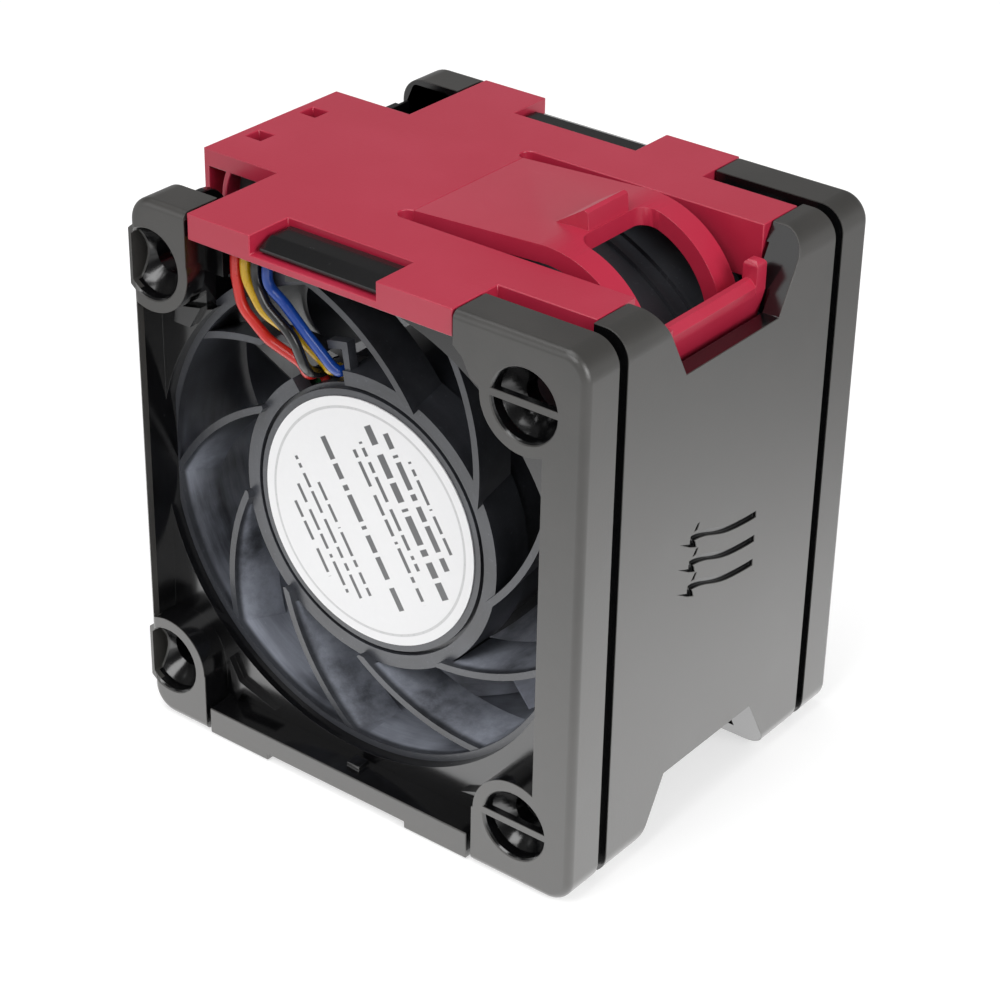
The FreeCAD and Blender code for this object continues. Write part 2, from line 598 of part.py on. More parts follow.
def magnet_ring():
    return tube(MAGNET_IN, YOKE_IN, MAGNET_FRONT, MAGNET_FRONT + MAGNET_LENGTH)


def shaft_bush():
    end = ROTOR_REAR - BUSH_COVER
    return tube(SHAFT_R, BUSH_R, end - BUSH_LENGTH, end)


def shaft():
    y0 = HUB_FLOOR + 0.4
    groove = tube(SHAFT_R - 0.3, SHAFT_R + 1, y0 + 0.6, y0 + 1.1)
    return rod(SHAFT_R, y0, ROTOR_REAR - BUSH_COVER).cut(groove)


def retaining_clip():
    y0 = HUB_FLOOR + 0.4 + 0.65
    ring = tube(SHAFT_R - 0.25, SHAFT_R + 1.1, y0, y0 + 0.4)
    return ring.cut(box(0, BIG, y0 - 1, y0 + 2, AXIS_Z - 0.9, AXIS_Z + 0.9))


# ---------------------------------------------------------------- stator, bearings, board
def bearing(y0):
    ring = tube(SHAFT_R + FIT_GAP, BEARING_R, y0, y0 + BEARING_LENGTH)
    for face in (y0 - 1, y0 + BEARING_LENGTH - 0.3):
        ring = ring.cut(tube(SHAFT_R + 0.8, BEARING_R - 0.7, face, face + 1.3))
    return ring


def outlet_bearing():
    return bearing(HUB_FLOOR + BEARING_SEAT)


def inlet_bearing():
    return bearing(BEARING_END - BEARING_LENGTH)


def preload_spring():
    """Wave washer pushing on the inlet bearing's outer ring."""
    end = BEARING_END - BEARING_LENGTH
    return tube(BEARING_R - 1.0, BEARING_R, end - SPRING_THICK, end)


def bearing_spacer():
    """Sleeve between the outlet bearing and the wave washer."""
    start = HUB_FLOOR + BEARING_SEAT + BEARING_LENGTH
    end = BEARING_END - BEARING_LENGTH - SPRING_THICK
    return tube(BEARING_R - 0.8, BEARING_R, start, end)


def stator_core():
    y0, y1 = CORE_FRONT, CORE_FRONT + CORE_LENGTH
    parts = [tube(TUBE_R, TUBE_R + CORE_RING, y0, y1)]
    shoe = tube(CORE_R - SHOE_THICK, CORE_R, y0, y1)
    half = math.tan(math.radians(SHOE_ANGLE / 2)) * BIG
    slice_ = prism_y([(0, AXIS_Z), (BIG, AXIS_Z - half), (BIG, AXIS_Z + half)], y0, y1)
    tooth = box(TUBE_R + CORE_RING / 2, CORE_R - SHOE_THICK / 2, y0, y1,
                AXIS_Z - TOOTH_WIDTH / 2, AXIS_Z + TOOTH_WIDTH / 2)
    pole = fuse([tooth, shoe.common(slice_)])
    parts += [turned(pole, index * 360.0 / POLES) for index in range(POLES)]
    return fuse(parts)


def stator_insulator():
    """Two plastic end plates on the lamination stack."""
    plates = []
    for y0 in (CORE_FRONT - INSULATOR_THICK, CORE_FRONT + CORE_LENGTH):
        y1 = y0 + INSULATOR_THICK
        ring = tube(TUBE_R, TUBE_R + CORE_RING, y0, y1)
        arm = box(TUBE_R + CORE_RING / 2, CORE_R - SHOE_THICK, y0, y1,
                  AXIS_Z - TOOTH_WIDTH / 2, AXIS_Z + TOOTH_WIDTH / 2)
        plates.append(fuse([ring] + [turned(arm, index * 360.0 / POLES) for index in range(POLES)]))
    return Part.makeCompound(plates)


def stator_coils():
    x0, x1 = TUBE_R + CORE_RING + 0.3, CORE_R - SHOE_THICK - 0.7
    half = TOOTH_WIDTH / 2 + COIL_GAP
    y0 = CORE_FRONT - INSULATOR_THICK - COIL_GAP
    y1 = CORE_FRONT + CORE_LENGTH + INSULATOR_THICK + COIL_GAP
    outer = box(x0, x1, y0 - COIL_WALL, y1 + COIL_WALL, AXIS_Z - half - COIL_WALL, AXIS_Z + half + COIL_WALL)
    outer = outer.makeFillet(COIL_WALL * 0.6, edges_along(outer, V(1, 0, 0)))
    coil = outer.cut(box(x0 - 1, x1 + 1, y0, y1, AXIS_Z - half, AXIS_Z + half))
    return Part.makeCompound([turned(coil, index * 360.0 / POLES) for index in range(POLES)])


def driver_board():
    return tube(TUBE_R + 0.1, HUB_R - HUB_WALL - 0.2, BOARD_FRONT, BOARD_FRONT + BOARD_THICK)


def board_block(angle, size):
    """Square electronic part centred on the board's ring at the given angle."""
    face = BOARD_FRONT + BOARD_THICK
    spot = polar((TUBE_R + HUB_R - HUB_WALL) / 2, angle)
    half = size / 2
    return box(spot.x - half, spot.x + half, face, face + PART_HEIGHT, spot.z - half, spot.z + half)


def board_components():
    """Driver chip, hall sensor and three capacitors on the circuit board."""
    parts = [board_block(0.0, CHIP_SIZE), board_block(180.0, SENSOR_SIZE)]
    parts += [board_block(angle, CAPACITOR_SIZE) for angle in (-120.0, -90.0, -60.0)]
    return Part.makeCompound(parts)


def hub_label():
    return rod(LABEL_R, HUB_FACE - LABEL_THICK, HUB_FACE)


# ---------------------------------------------------------------- leads and connector
def rounded_path(points, bend):
    """Straight runs joined by tangent arcs."""
    edges = []
    start = points[0]
    for before, corner, after in zip(points, points[1:], points[2:]):
        into = (corner - before).normalize()
        away = (after - corner).normalize()
        turn = into.getAngle(away)
        longest = 0.45 * min((corner - before).Length, (after - corner).Length)
        trim = min(bend * math.tan(turn / 2), longest)
        first, last = corner - into * trim, corner + away * trim
        radius = trim / math.tan(turn / 2)
        to_centre = (away - into).normalize()
        centre = corner + to_centre * (radius / math.cos(turn / 2))
        middle = centre - to_centre * radius
        edges.append(Part.LineSegment(start, first).toShape())
        edges.append(Part.Arc(first, middle, last).toShape())
        start = last
    edges.append(Part.LineSegment(start, points[-1]).toShape())
    return Part.Wire(edges)


def wire(colour):
    """One lead from the circuit board, out through the ring's exit and up to the connector."""
    angle, setback, lane, pin, bends = LEAD_ROUTES[colour]
    board_y = HUB_FLOOR + BOARD_GAP / 2
    pin_y = (pin - 1.5) * PIN_PITCH
    points = [polar(HUB_R - 3.8, angle, board_y), polar(HUB_R - 0.65, angle, board_y),
              polar(HUB_R - 0.4, angle, FRONT_Y + setback)]
    points += [V(x, FRONT_Y + behind, HEIGHT - drop) for x, behind, drop in bends]
    points += [V(lane, LEAD_FRONT, LEAD_TOP - 3.0), V(lane, LEAD_FRONT, LEAD_TOP),
               V(lane, pin_y, LEAD_TOP), V(PLUG_RIGHT, pin_y, LEAD_TOP)]
    path = rounded_path(points, WIRE_BEND)
    start = path.Edges[0]
    direction = start.tangentAt(start.FirstParameter)
    profile = Part.Wire(Part.makeCircle(WIRE_R, points[0], direction))
    return path.makePipeShell([profile], True, False)


def pin_places():
    """Middle of each contact pocket, as (x, y)."""
    return [((PLUG_LEFT + PLUG_RIGHT) / 2, (index - 1.5) * PIN_PITCH) for index in range(4)]


def connector_housing():
    body = box(PLUG_LEFT, PLUG_RIGHT, -PLUG_HALF, PLUG_HALF, PLUG_BOTTOM, PLATE_UNDER)
    half = PIN_POCKET / 2
    top = PLUG_BOTTOM + PIN_RECESS + PIN_LENGTH
    for x, y in pin_places():
        body = body.cut(box(x - half, x + half, y - half, y + half, PLUG_BOTTOM - 1, top))
    return body


def connector_contacts():
    half = PIN_SIZE / 2
    z0 = PLUG_BOTTOM + PIN_RECESS
    pins = [box(x - half, x + half, y - half, y + half, z0, z0 + PIN_LENGTH) for x, y in pin_places()]
    return Part.makeCompound(pins)


# ---------------------------------------------------------------- carrier and latch
def carrier_outline():
    """Half outline of the top plate, from the nose round the inlet side to the strip end."""
    lip = REAR_Y - PLATE_SETBACK
    return [(NOSE_LEFT, NOSE_HALF), (PLATE_LEFT, NOSE_HALF), (PLATE_LEFT, lip), (CLIP_LEFT, lip),
            (CLIP_LEFT, CLIP_EDGE), (CLIP_RIGHT, CLIP_EDGE), (CLIP_RIGHT, lip),
            (PLATE_SHOULDER, lip), (PLATE_SHOULDER, STRIP_EDGE), (PLATE_RIGHT, STRIP_EDGE)]


def lip_and_rests():
    """Front fold of the plate, the low stretch under the clip, and the ribs that rest on the flange."""
    y0 = FRONT_Y + PLATE_SETBACK
    foot = SEAT_Z
    lips = [box(PLATE_LEFT, CLIP_LEFT, y0, y0 + LIP_THICK, foot, HEIGHT),
            box(CLIP_LEFT, CLIP_RIGHT, y0, y0 + LIP_THICK, foot, SEAT_Z + LIP_HEIGHT - PLATE_THICK),
            box(CLIP_RIGHT, PLATE_SHOULDER, y0, y0 + LIP_THICK, foot, HEIGHT)]
    for x0, x1 in ((PLATE_LEFT, CLIP_LEFT), (CLIP_RIGHT, PLATE_SHOULDER)):
        lips.append(box(x0, x1, WEB_Y, FRONT_IN, foot, PLATE_UNDER + 0.5))
    return lips


def nose_walls():
    """Outer wall and curved stiffeners of the hollow connector shroud."""
    base = HEIGHT - NOSE_HEIGHT
    walls = [box(NOSE_LEFT, NOSE_LEFT + NOSE_WALL, -NOSE_HALF, NOSE_HALF, base, PLATE_UNDER + 0.5)]
    centre_x = NOSE_LEFT + 3.2 + NOSE_RIB_R
    curve = tube(NOSE_RIB_R, NOSE_RIB_R + NOSE_WALL, -NOSE_HALF, -NOSE_HALF + 2.2)
    curve.translate(V(centre_x, 0, base + 2.0 - AXIS_Z))
    curve = curve.common(box(NOSE_LEFT, centre_x - 5.0, -NOSE_HALF, 0, base, PLATE_UNDER + 0.5))
    walls += [curve, mirror_y(curve)]
    return walls


def top_carrier():
    half = carrier_outline()
    outline = half + [(x, -y) for x, y in reversed(half)]
    plate = prism_z(outline, PLATE_UNDER, HEIGHT)
    extras = []
    for piece in lip_and_rests():
        extras += [piece, mirror_y(piece)]
    for side in (-1, 1):
        y0 = side * (SLOT_HALF + SKIRT_THICK / 2)
        extras.append(box(PLATE_RIGHT - SKIRT_LENGTH, PLATE_RIGHT, y0 - SKIRT_THICK / 2, y0 + SKIRT_THICK / 2,
                          PLATE_UNDER - SKIRT_DEPTH, PLATE_UNDER + 0.5))
    body = fuse([plate] + extras + nose_walls())
    slot_r = (SLOT_HALF - TONGUE_HALF) / 2
    slot_y = (SLOT_HALF + TONGUE_HALF) / 2
    cutters = [box(ROOT_X, BIG, -SLOT_HALF, SLOT_HALF, SEAT_Z - 8, BIG)]
    for side in (-1, 1):
        cutters.append(Part.makeCylinder(slot_r, 10, V(ROOT_X, side * slot_y, SEAT_Z - 5)))
        cutters.append(box(WINDOW_X - WINDOW / 2, WINDOW_X + WINDOW / 2, side * WINDOW_Y - WINDOW / 2,
                           side * WINDOW_Y + WINDOW / 2, PLATE_UNDER - 1, BIG))
    return body.cut(Part.makeCompound(cutters[1:])).cut(cutters[0])


def tongue_arc(radius, centre, start, end):
    """Arc about the bend centre, angles measured from straight up towards +X."""
    points = []
    for angle in (start, (start + end) / 2, end):
        turn = math.radians(angle)
        points.append(V(centre.x + radius * math.sin(turn), -TONGUE_HALF, centre.z + radius * math.cos(turn)))
    return points


def tongue_strip():
    """Flat spring that rises from the living hinge and bends down over the barrel."""
    top = V(TONGUE_BEND_X, -TONGUE_HALF, TONGUE_TOP)
    centre = top - V(-math.sin(SLOPE), 0, math.cos(SLOPE)) * TONGUE_BEND_R
    outer = tongue_arc(TONGUE_BEND_R, centre, -TONGUE_SLOPE, TONGUE_BEND_ANGLE)
    inner = tongue_arc(TONGUE_BEND_R - PLATE_THICK, centre, -TONGUE_SLOPE, TONGUE_BEND_ANGLE)
    root_top = V(ROOT_X, -TONGUE_HALF, HEIGHT)
    root_under = V(ROOT_X, -TONGUE_HALF, PLATE_UNDER)
    loop = [Part.LineSegment(root_top, outer[0]), Part.Arc(*outer), Part.LineSegment(outer[2], inner[2]),
            Part.Arc(*inner[::-1]), Part.LineSegment(inner[0], root_under),
            Part.LineSegment(root_under, root_top)]
    face = Part.Face(Part.Wire([curve.toShape() for curve in loop]))
    return face.extrude(V(0, 2 * TONGUE_HALF, 0))


def latch_bar():
    """Rounded finger bar across the tip, with a catch nub at each end."""
    inner_x = BAR_OUT_X - BAR_THICK
    profile = [(inner_x - 1.8, BAR_BOTTOM), (BAR_OUT_X - 0.9, BAR_BOTTOM), (BAR_OUT_X - 0.1, BAR_TOP - 1.9),
               (BAR_OUT_X, BAR_TOP - 0.8), (BAR_OUT_X - 0.7, BAR_TOP), (inner_x + 0.5, BAR_TOP),
               (inner_x, BAR_TOP - 0.8), (inner_x - 0.6, BAR_TOP - 2.8), (inner_x - 1.6, BAR_TOP - 3.4)]
    bar = prism_y(profile, -TONGUE_HALF, TONGUE_HALF)
    nubs = []
    for y0 in (-TONGUE_HALF, TONGUE_HALF - NUB_WIDTH):
        nub = box(inner_x + 0.1, BAR_OUT_X, y0, y0 + NUB_WIDTH, BAR_TOP - 1.6, BAR_TOP + NUB_RISE)
        crown = edges_where(nub, lambda p: near(p.z, BAR_TOP + NUB_RISE))
        nubs.append(nub.makeFillet(0.7, crown))
    return [bar] + nubs


def thumb_ridge():
    top = TONGUE_TOP
    crest = EYE_LEFT - RIDGE_GAP
    profile = [(crest - RIDGE_LENGTH, top - 0.35), (crest - 0.5, top + RIDGE_RISE), (crest, top + RIDGE_RISE - 0.2),
               (EYE_LEFT, top - PLATE_THICK), (crest - RIDGE_LENGTH, top - PLATE_THICK + 0.4)]
    return prism_y(profile, -RIDGE_HALF, RIDGE_HALF)


def latch_tongue():
    eye = box(EYE_LEFT, BAR_OUT_X - BAR_THICK, -EYE_HALF, EYE_HALF, BAR_BOTTOM - 5, BIG)
    left = edges_where(eye, lambda p: near(p.x, EYE_LEFT) and abs(p.y) > EYE_HALF - 0.1)
    strip = tongue_strip().cut(eye.makeFillet(EYE_ROUND, left))
    return fuse([strip, thumb_ridge()] + latch_bar())


# ---------------------------------------------------------------- side covers and rail
def notch(half_wide, half_narrow, z_wide, z_narrow, x0):
    """Trapezoid cutter through a side cover."""
    points = [(-half_wide, z_wide), (half_wide, z_wide), (half_narrow, z_narrow), (-half_narrow, z_narrow)]
    return prism_x(points, x0, BIG)


def wave_stroke(middle):
    """Recess for one arrow's wavy shaft, which climbs from the inlet to the outlet side."""
    line = [(6.7, -1.0), (3.4, -0.7), (0.0, 0.0), (-3.0, 1.1), (-5.9, 1.5)]
    lower = [V(RIGHT_X - MARK_DEPTH, y, middle + rise - MARK_BAND / 2) for y, rise in line]
    upper = [point + V(0, 0, MARK_BAND) for point in lower[::-1]]
    edges = []
    for points, following in ((lower, upper), (upper, lower)):
        curve = Part.BSplineCurve()
        curve.interpolate(points)
        edges += [curve.toShape(), Part.LineSegment(points[-1], following[0]).toShape()]
    return Part.Face(Part.Wire(edges)).extrude(V(1.0, 0, 0))


def airflow_mark():
    """Three stacked arrows, cut into the side cover, that show the way of the air."""
    strokes = []
    barb = [(-7.6, 1.6), (-5.9, 0.6), (-4.7, 0.1), (-4.9, 0.8), (-5.4, 1.4), (-6.0, 1.5), (-6.0, 1.0)]
    tick = [(-4.3, 2.9), (-4.7, 2.2), (-5.3, 2.2), (-4.7, 2.9)]
    for row in (-1, 0, 1):
        middle = AXIS_Z - MARK_DROP + row * MARK_PITCH
        strokes.append(wave_stroke(middle))
        for outline in (barb, tick):
            points = [(y, middle + rise) for y, rise in outline]
            strokes.append(prism_x(points, RIGHT_X - MARK_DEPTH, RIGHT_X + 1))
    return fuse(strokes)


def side_cover():
    y0, y1 = FRONT_IN + GROOVE, REAR_IN - GROOVE
    shell = box(COVER_RETURN_X, RIGHT_X, y0, y1, 0, HEIGHT)
    corners = edges_where(shell, lambda p: near(p.x, RIGHT_X) and p.z in (0, HEIGHT))
    shell = shell.makeFillet(CORNER_ROUND, corners)
    shell = fuse([shell, box(COVER_BASE_X, COVER_RETURN_X + 1, y0, y1, 0, RETURN_THICK)])
    hollow = box(COVER_BASE_X - 1, COVER_IN, y0 - 1, y1 + 1, RETURN_THICK, PLATE_UNDER)
    body = shell.cut(hollow)
    lining = box(COVER_IN, COVER_IN + COVER_LINING, FRONT_IN, REAR_IN, CORNER_ROUND, HEIGHT - CORNER_ROUND)
    body = fuse([body, lining])
    top_edge, low_edge = HEIGHT + 1, -1.0
    slope = (NOTCH_TOP_HALF - NOTCH_BOTTOM_HALF) / NOTCH_DEPTH
    wide = NOTCH_TOP_HALF + slope
    top_cut = notch(wide, NOTCH_BOTTOM_HALF, top_edge, HEIGHT - NOTCH_DEPTH, 0)
    low_cut = notch(wide, NOTCH_BOTTOM_HALF, low_edge, NOTCH_DEPTH, 0)
    ribs = []
    for side in (-1, 1):
        for z_edge, z_deep in ((PLATE_UNDER + 0.5, HEIGHT - NOTCH_DEPTH), (RETURN_THICK - 0.5, NOTCH_DEPTH)):
            y_edge = side * (NOTCH_TOP_HALF - slope * abs(z_edge - (HEIGHT if z_edge > AXIS_Z else 0)))
            y_deep = side * NOTCH_BOTTOM_HALF
            points = [(y_edge, z_edge), (y_edge + side * NOTCH_RIB, z_edge),
                      (y_deep + side * NOTCH_RIB, z_deep), (y_deep, z_deep)]
            ribs.append(prism_x(points, COVER_RETURN_X + 0.3, COVER_IN + 0.5))
    latch_room = box(COVER_RETURN_X, COVER_IN, -TONGUE_HALF - CLEAR, TONGUE_HALF + CLEAR, AXIS_Z, BIG)
    ribs = [rib.cut(latch_room) for rib in ribs]
    return fuse([body.cut(top_cut).cut(low_cut).cut(airflow_mark())] + ribs)


def left_covers():
    """Thin outer walls above and below the barrel's flat; the upper one has a gap for the connector."""
    y0, y1 = FRONT_IN + GROOVE, REAR_IN - GROOVE
    x1 = LEFT_X + LEFT_WALL
    wall = box(LEFT_X, x1, y0, y1, 0, HEIGHT)
    lining = box(LEFT_X + LEFT_WALL / 2, x1, FRONT_IN, REAR_IN, CORNER_ROUND, HEIGHT - CORNER_ROUND)
    top = box(LEFT_X, PLATE_LEFT - CLEAR, y0, y1, PLATE_UNDER, HEIGHT)
    base = box(LEFT_X, RAIL_LEFT - RAIL_GAP, y0, y1, 0, RETURN_THICK)
    body = fuse([wall, lining, top, base])
    corner = edges_where(body, lambda p: near(p.x, LEFT_X) and (near(p.z, 0) or near(p.z, HEIGHT)))
    body = body.makeFillet(LEFT_WALL * 0.8, corner)
    gap = box(LEFT_X - 1, 0, -NOSE_HALF - CLEAR, NOSE_HALF + CLEAR, PLUG_BOTTOM - CLEAR, BIG)
    upper = body.common(box(-BIG, BIG, -BIG, BIG, AXIS_Z + LEFT_WINDOW_HALF, BIG)).cut(gap)
    lower = body.common(box(-BIG, BIG, -BIG, BIG, -1, AXIS_Z - LEFT_WINDOW_HALF))
    return upper, lower


def base_rail():
    rail = box(RAIL_LEFT, RAIL_RIGHT, FRONT_Y, REAR_Y, 0, RAIL_HEIGHT)
    half = RAIL_NOTCH_HALF
    front = box(-half, half, FRONT_Y - 1, FRONT_Y + RAIL_NOTCH_DEPTH, -1, RAIL_NOTCH)
    key = box(0.6, 0.6 + KEY_SIZE, FRONT_Y + 1.4, FRONT_Y + 1.4 + KEY_SIZE, RAIL_HEIGHT - 0.5, RAIL_HEIGHT + KEY_RISE)
    return fuse([rail.cut(front).cut(mirror_y(front)), key])


# ---------------------------------------------------------------- export
def nodes():
    left_upper, left_lower = left_covers()
    shapes = {
        "outlet_flange": outlet_flange(), "inlet_flange": inlet_flange(),
        "outlet_duct": outlet_duct(), "inlet_duct": inlet_duct(),
        "side_cover": side_cover(), "left_cover_upper": left_upper, "left_cover_lower": left_lower,
        "base_rail": base_rail(),
        "top_carrier": top_carrier(), "latch_tongue": latch_tongue(),
        "connector_housing": connector_housing(), "connector_contacts": connector_contacts(),
        "hub_label": hub_label(), "driver_board": driver_board(), "board_components": board_components(),
        "outlet_bearing": outlet_bearing(), "inlet_bearing": inlet_bearing(),
        "bearing_spacer": bearing_spacer(), "preload_spring": preload_spring(),
        "stator_core": stator_core(), "stator_insulator": stator_insulator(), "stator_coils": stator_coils(),
        "impeller": impeller(), "rotor_yoke": rotor_yoke(), "magnet_ring": magnet_ring(),
        "shaft": shaft(), "shaft_bush": shaft_bush(), "retaining_clip": retaining_clip(),
    }
    for colour in LEAD_ROUTES:
        shapes["wire_" + colour] = wire(colour)
    return shapes


def main():
    os.makedirs("parts", exist_ok=True)
    for name, shape in nodes().items():
        shape.exportStep(os.path.join("parts", name + ".step"))
        print(name, len(shape.Solids), shape.isValid(), round(shape.Volume, 1))


main()
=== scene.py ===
"""Dresses the server fan module: finishes, moulded detail, floor, lights and camera.

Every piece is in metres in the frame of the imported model: +Z up, the fan axis along Y,
-Y the outlet side with the hub label, +X the side with the latch. The sizes that the
finishes and the pieces hold are in millimetres, and those of the studio say their own unit.
"""
import json
import logging
import math
from dataclasses import dataclass
from enum import Enum
from typing import Any, Optional, Sequence, Union

import bpy
from mathutils import Matrix, Vector


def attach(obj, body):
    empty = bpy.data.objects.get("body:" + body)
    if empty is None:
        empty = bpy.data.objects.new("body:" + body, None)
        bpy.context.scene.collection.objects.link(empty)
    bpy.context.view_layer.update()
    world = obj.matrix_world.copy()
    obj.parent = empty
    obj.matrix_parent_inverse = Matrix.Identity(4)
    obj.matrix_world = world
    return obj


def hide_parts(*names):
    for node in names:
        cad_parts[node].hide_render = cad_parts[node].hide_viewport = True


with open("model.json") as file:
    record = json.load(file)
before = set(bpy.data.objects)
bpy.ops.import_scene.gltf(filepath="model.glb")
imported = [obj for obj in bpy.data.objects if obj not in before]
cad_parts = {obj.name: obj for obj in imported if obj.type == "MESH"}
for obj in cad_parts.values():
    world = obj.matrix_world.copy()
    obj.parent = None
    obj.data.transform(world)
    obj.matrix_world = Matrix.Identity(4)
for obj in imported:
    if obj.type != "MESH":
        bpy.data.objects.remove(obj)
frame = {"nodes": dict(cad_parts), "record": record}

LOG = logging.getLogger("fan_module")
# A millimetre in metres, a metre in millimetres, and the fan axis's height over the base in millimetres.
MM = 0.001
METRE = 1000.0
AXIS_HEIGHT = 32.25
NOISE_MIDDLE = 0.5
SRGB_KNEE, SRGB_SLOPE, SRGB_OFFSET, SRGB_POWER = 0.04045, 12.92, 0.055, 2.4
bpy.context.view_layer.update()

Colour = tuple[float, float, float]
Triple = tuple[float, float, float]
Band = tuple[float, float]
Input = Union["Signal", float, Sequence[float]]


class Body(Enum):
    """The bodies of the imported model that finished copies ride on."""

    HOUSING = "housing"
    LATCH = "latch"


def srgb(red: int, green: int, blue: int) -> Colour:
    """Turns a colour into the linear values that a node takes.

    Args:
        red: the red part, from 0 to 255.
        green: the green part.
        blue: the blue part.

    Returns:
        The three linear parts, from 0 to 1.
    """
    linear = []
    for part in (red, green, blue):
        share = part / 255
        if share <= SRGB_KNEE:
            linear.append(share / SRGB_SLOPE)
        else:
            linear.append(((share + SRGB_OFFSET) / (1 + SRGB_OFFSET)) ** SRGB_POWER)
    return (linear[0], linear[1], linear[2])


@dataclass(frozen=True)
class Noise:
    """One layer of cloud noise: cells per metre, octaves, and how strong the finer ones are."""

    scale: float
    detail: float = 2.0
    rough: float = 0.5


# ------------------------------------------------------------------ shader writing
class Signal:
    """One output socket, with Python's operators as Math nodes."""

    def __init__(self, graph: "Graph", socket: bpy.types.NodeSocket) -> None:
        """Wraps a socket of the given graph."""
        self.graph = graph
        self.socket = socket

    def _math(self, operation: str, *terms: Input) -> "Signal":
        """Adds a Math node on the terms, in the order given."""
        node = self.graph.node("ShaderNodeMath", {"operation": operation}, dict(enumerate(terms)))
        return Signal(self.graph, node.outputs[0])

    def __add__(self, other: Input) -> "Signal":
        """self + other."""
        return self._math("ADD", self, other)

    def __radd__(self, other: Input) -> "Signal":
        """other + self."""
        return self._math("ADD", other, self)

    def __sub__(self, other: Input) -> "Signal":
        """self - other."""
        return self._math("SUBTRACT", self, other)

    def __rsub__(self, other: Input) -> "Signal":
        """other - self."""
        return self._math("SUBTRACT", other, self)

    def __mul__(self, other: Input) -> "Signal":
        """self * other."""
        return self._math("MULTIPLY", self, other)

    def __rmul__(self, other: Input) -> "Signal":
        """other * self."""
        return self._math("MULTIPLY", other, self)

    def __lt__(self, other: Input) -> "Signal":
        """1 where self is under other."""
        return self._math("LESS_THAN", self, other)

    def __gt__(self, other: Input) -> "Signal":
        """1 where self is over other."""
        return self._math("GREATER_THAN", self, other)

    def __abs__(self) -> "Signal":
        """Distance from zero."""
        return self._math("ABSOLUTE", self)

    def wave(self, period: float, phase: float = 0.0) -> "Signal":
        """Sine wave over self, which turns once per period, with a phase in radians."""
        return self._math("SINE", self * (2 * math.pi / period) + phase)

    def angle_to(self, other: Input) -> "Signal":
        """Angle of the point (other, self), in radians."""
        return self._math("ARCTAN2", self, other)

    def length_with(self, other: "Signal") -> "Signal":
        """Length of the vector (self, other)."""
        return self._math("SQRT", self * self + other * other)

    def larger(self, other: Input) -> "Signal":
        """The larger of two values."""
        return self._math("MAXIMUM", self, other)

    def within(self, half: float, blur: float) -> "Signal":
        """1 where self is nearer to zero than half, going to 0 over a soft edge of blur to each side."""
        return abs(self).ease(half - blur, half + blur, 1.0, 0.0)

    def ease(self, low: float, high: float, start: float = 0.0, end: float = 1.0) -> "Signal":
        """Smooth step from start to end while self goes from low to high."""
        settings = {"interpolation_type": "SMOOTHSTEP"}
        values = {"Value": self, "From Min": low, "From Max": high, "To Min": start, "To Max": end}
        node = self.graph.node("ShaderNodeMapRange", settings, values)
        return Signal(self.graph, node.outputs["Result"])


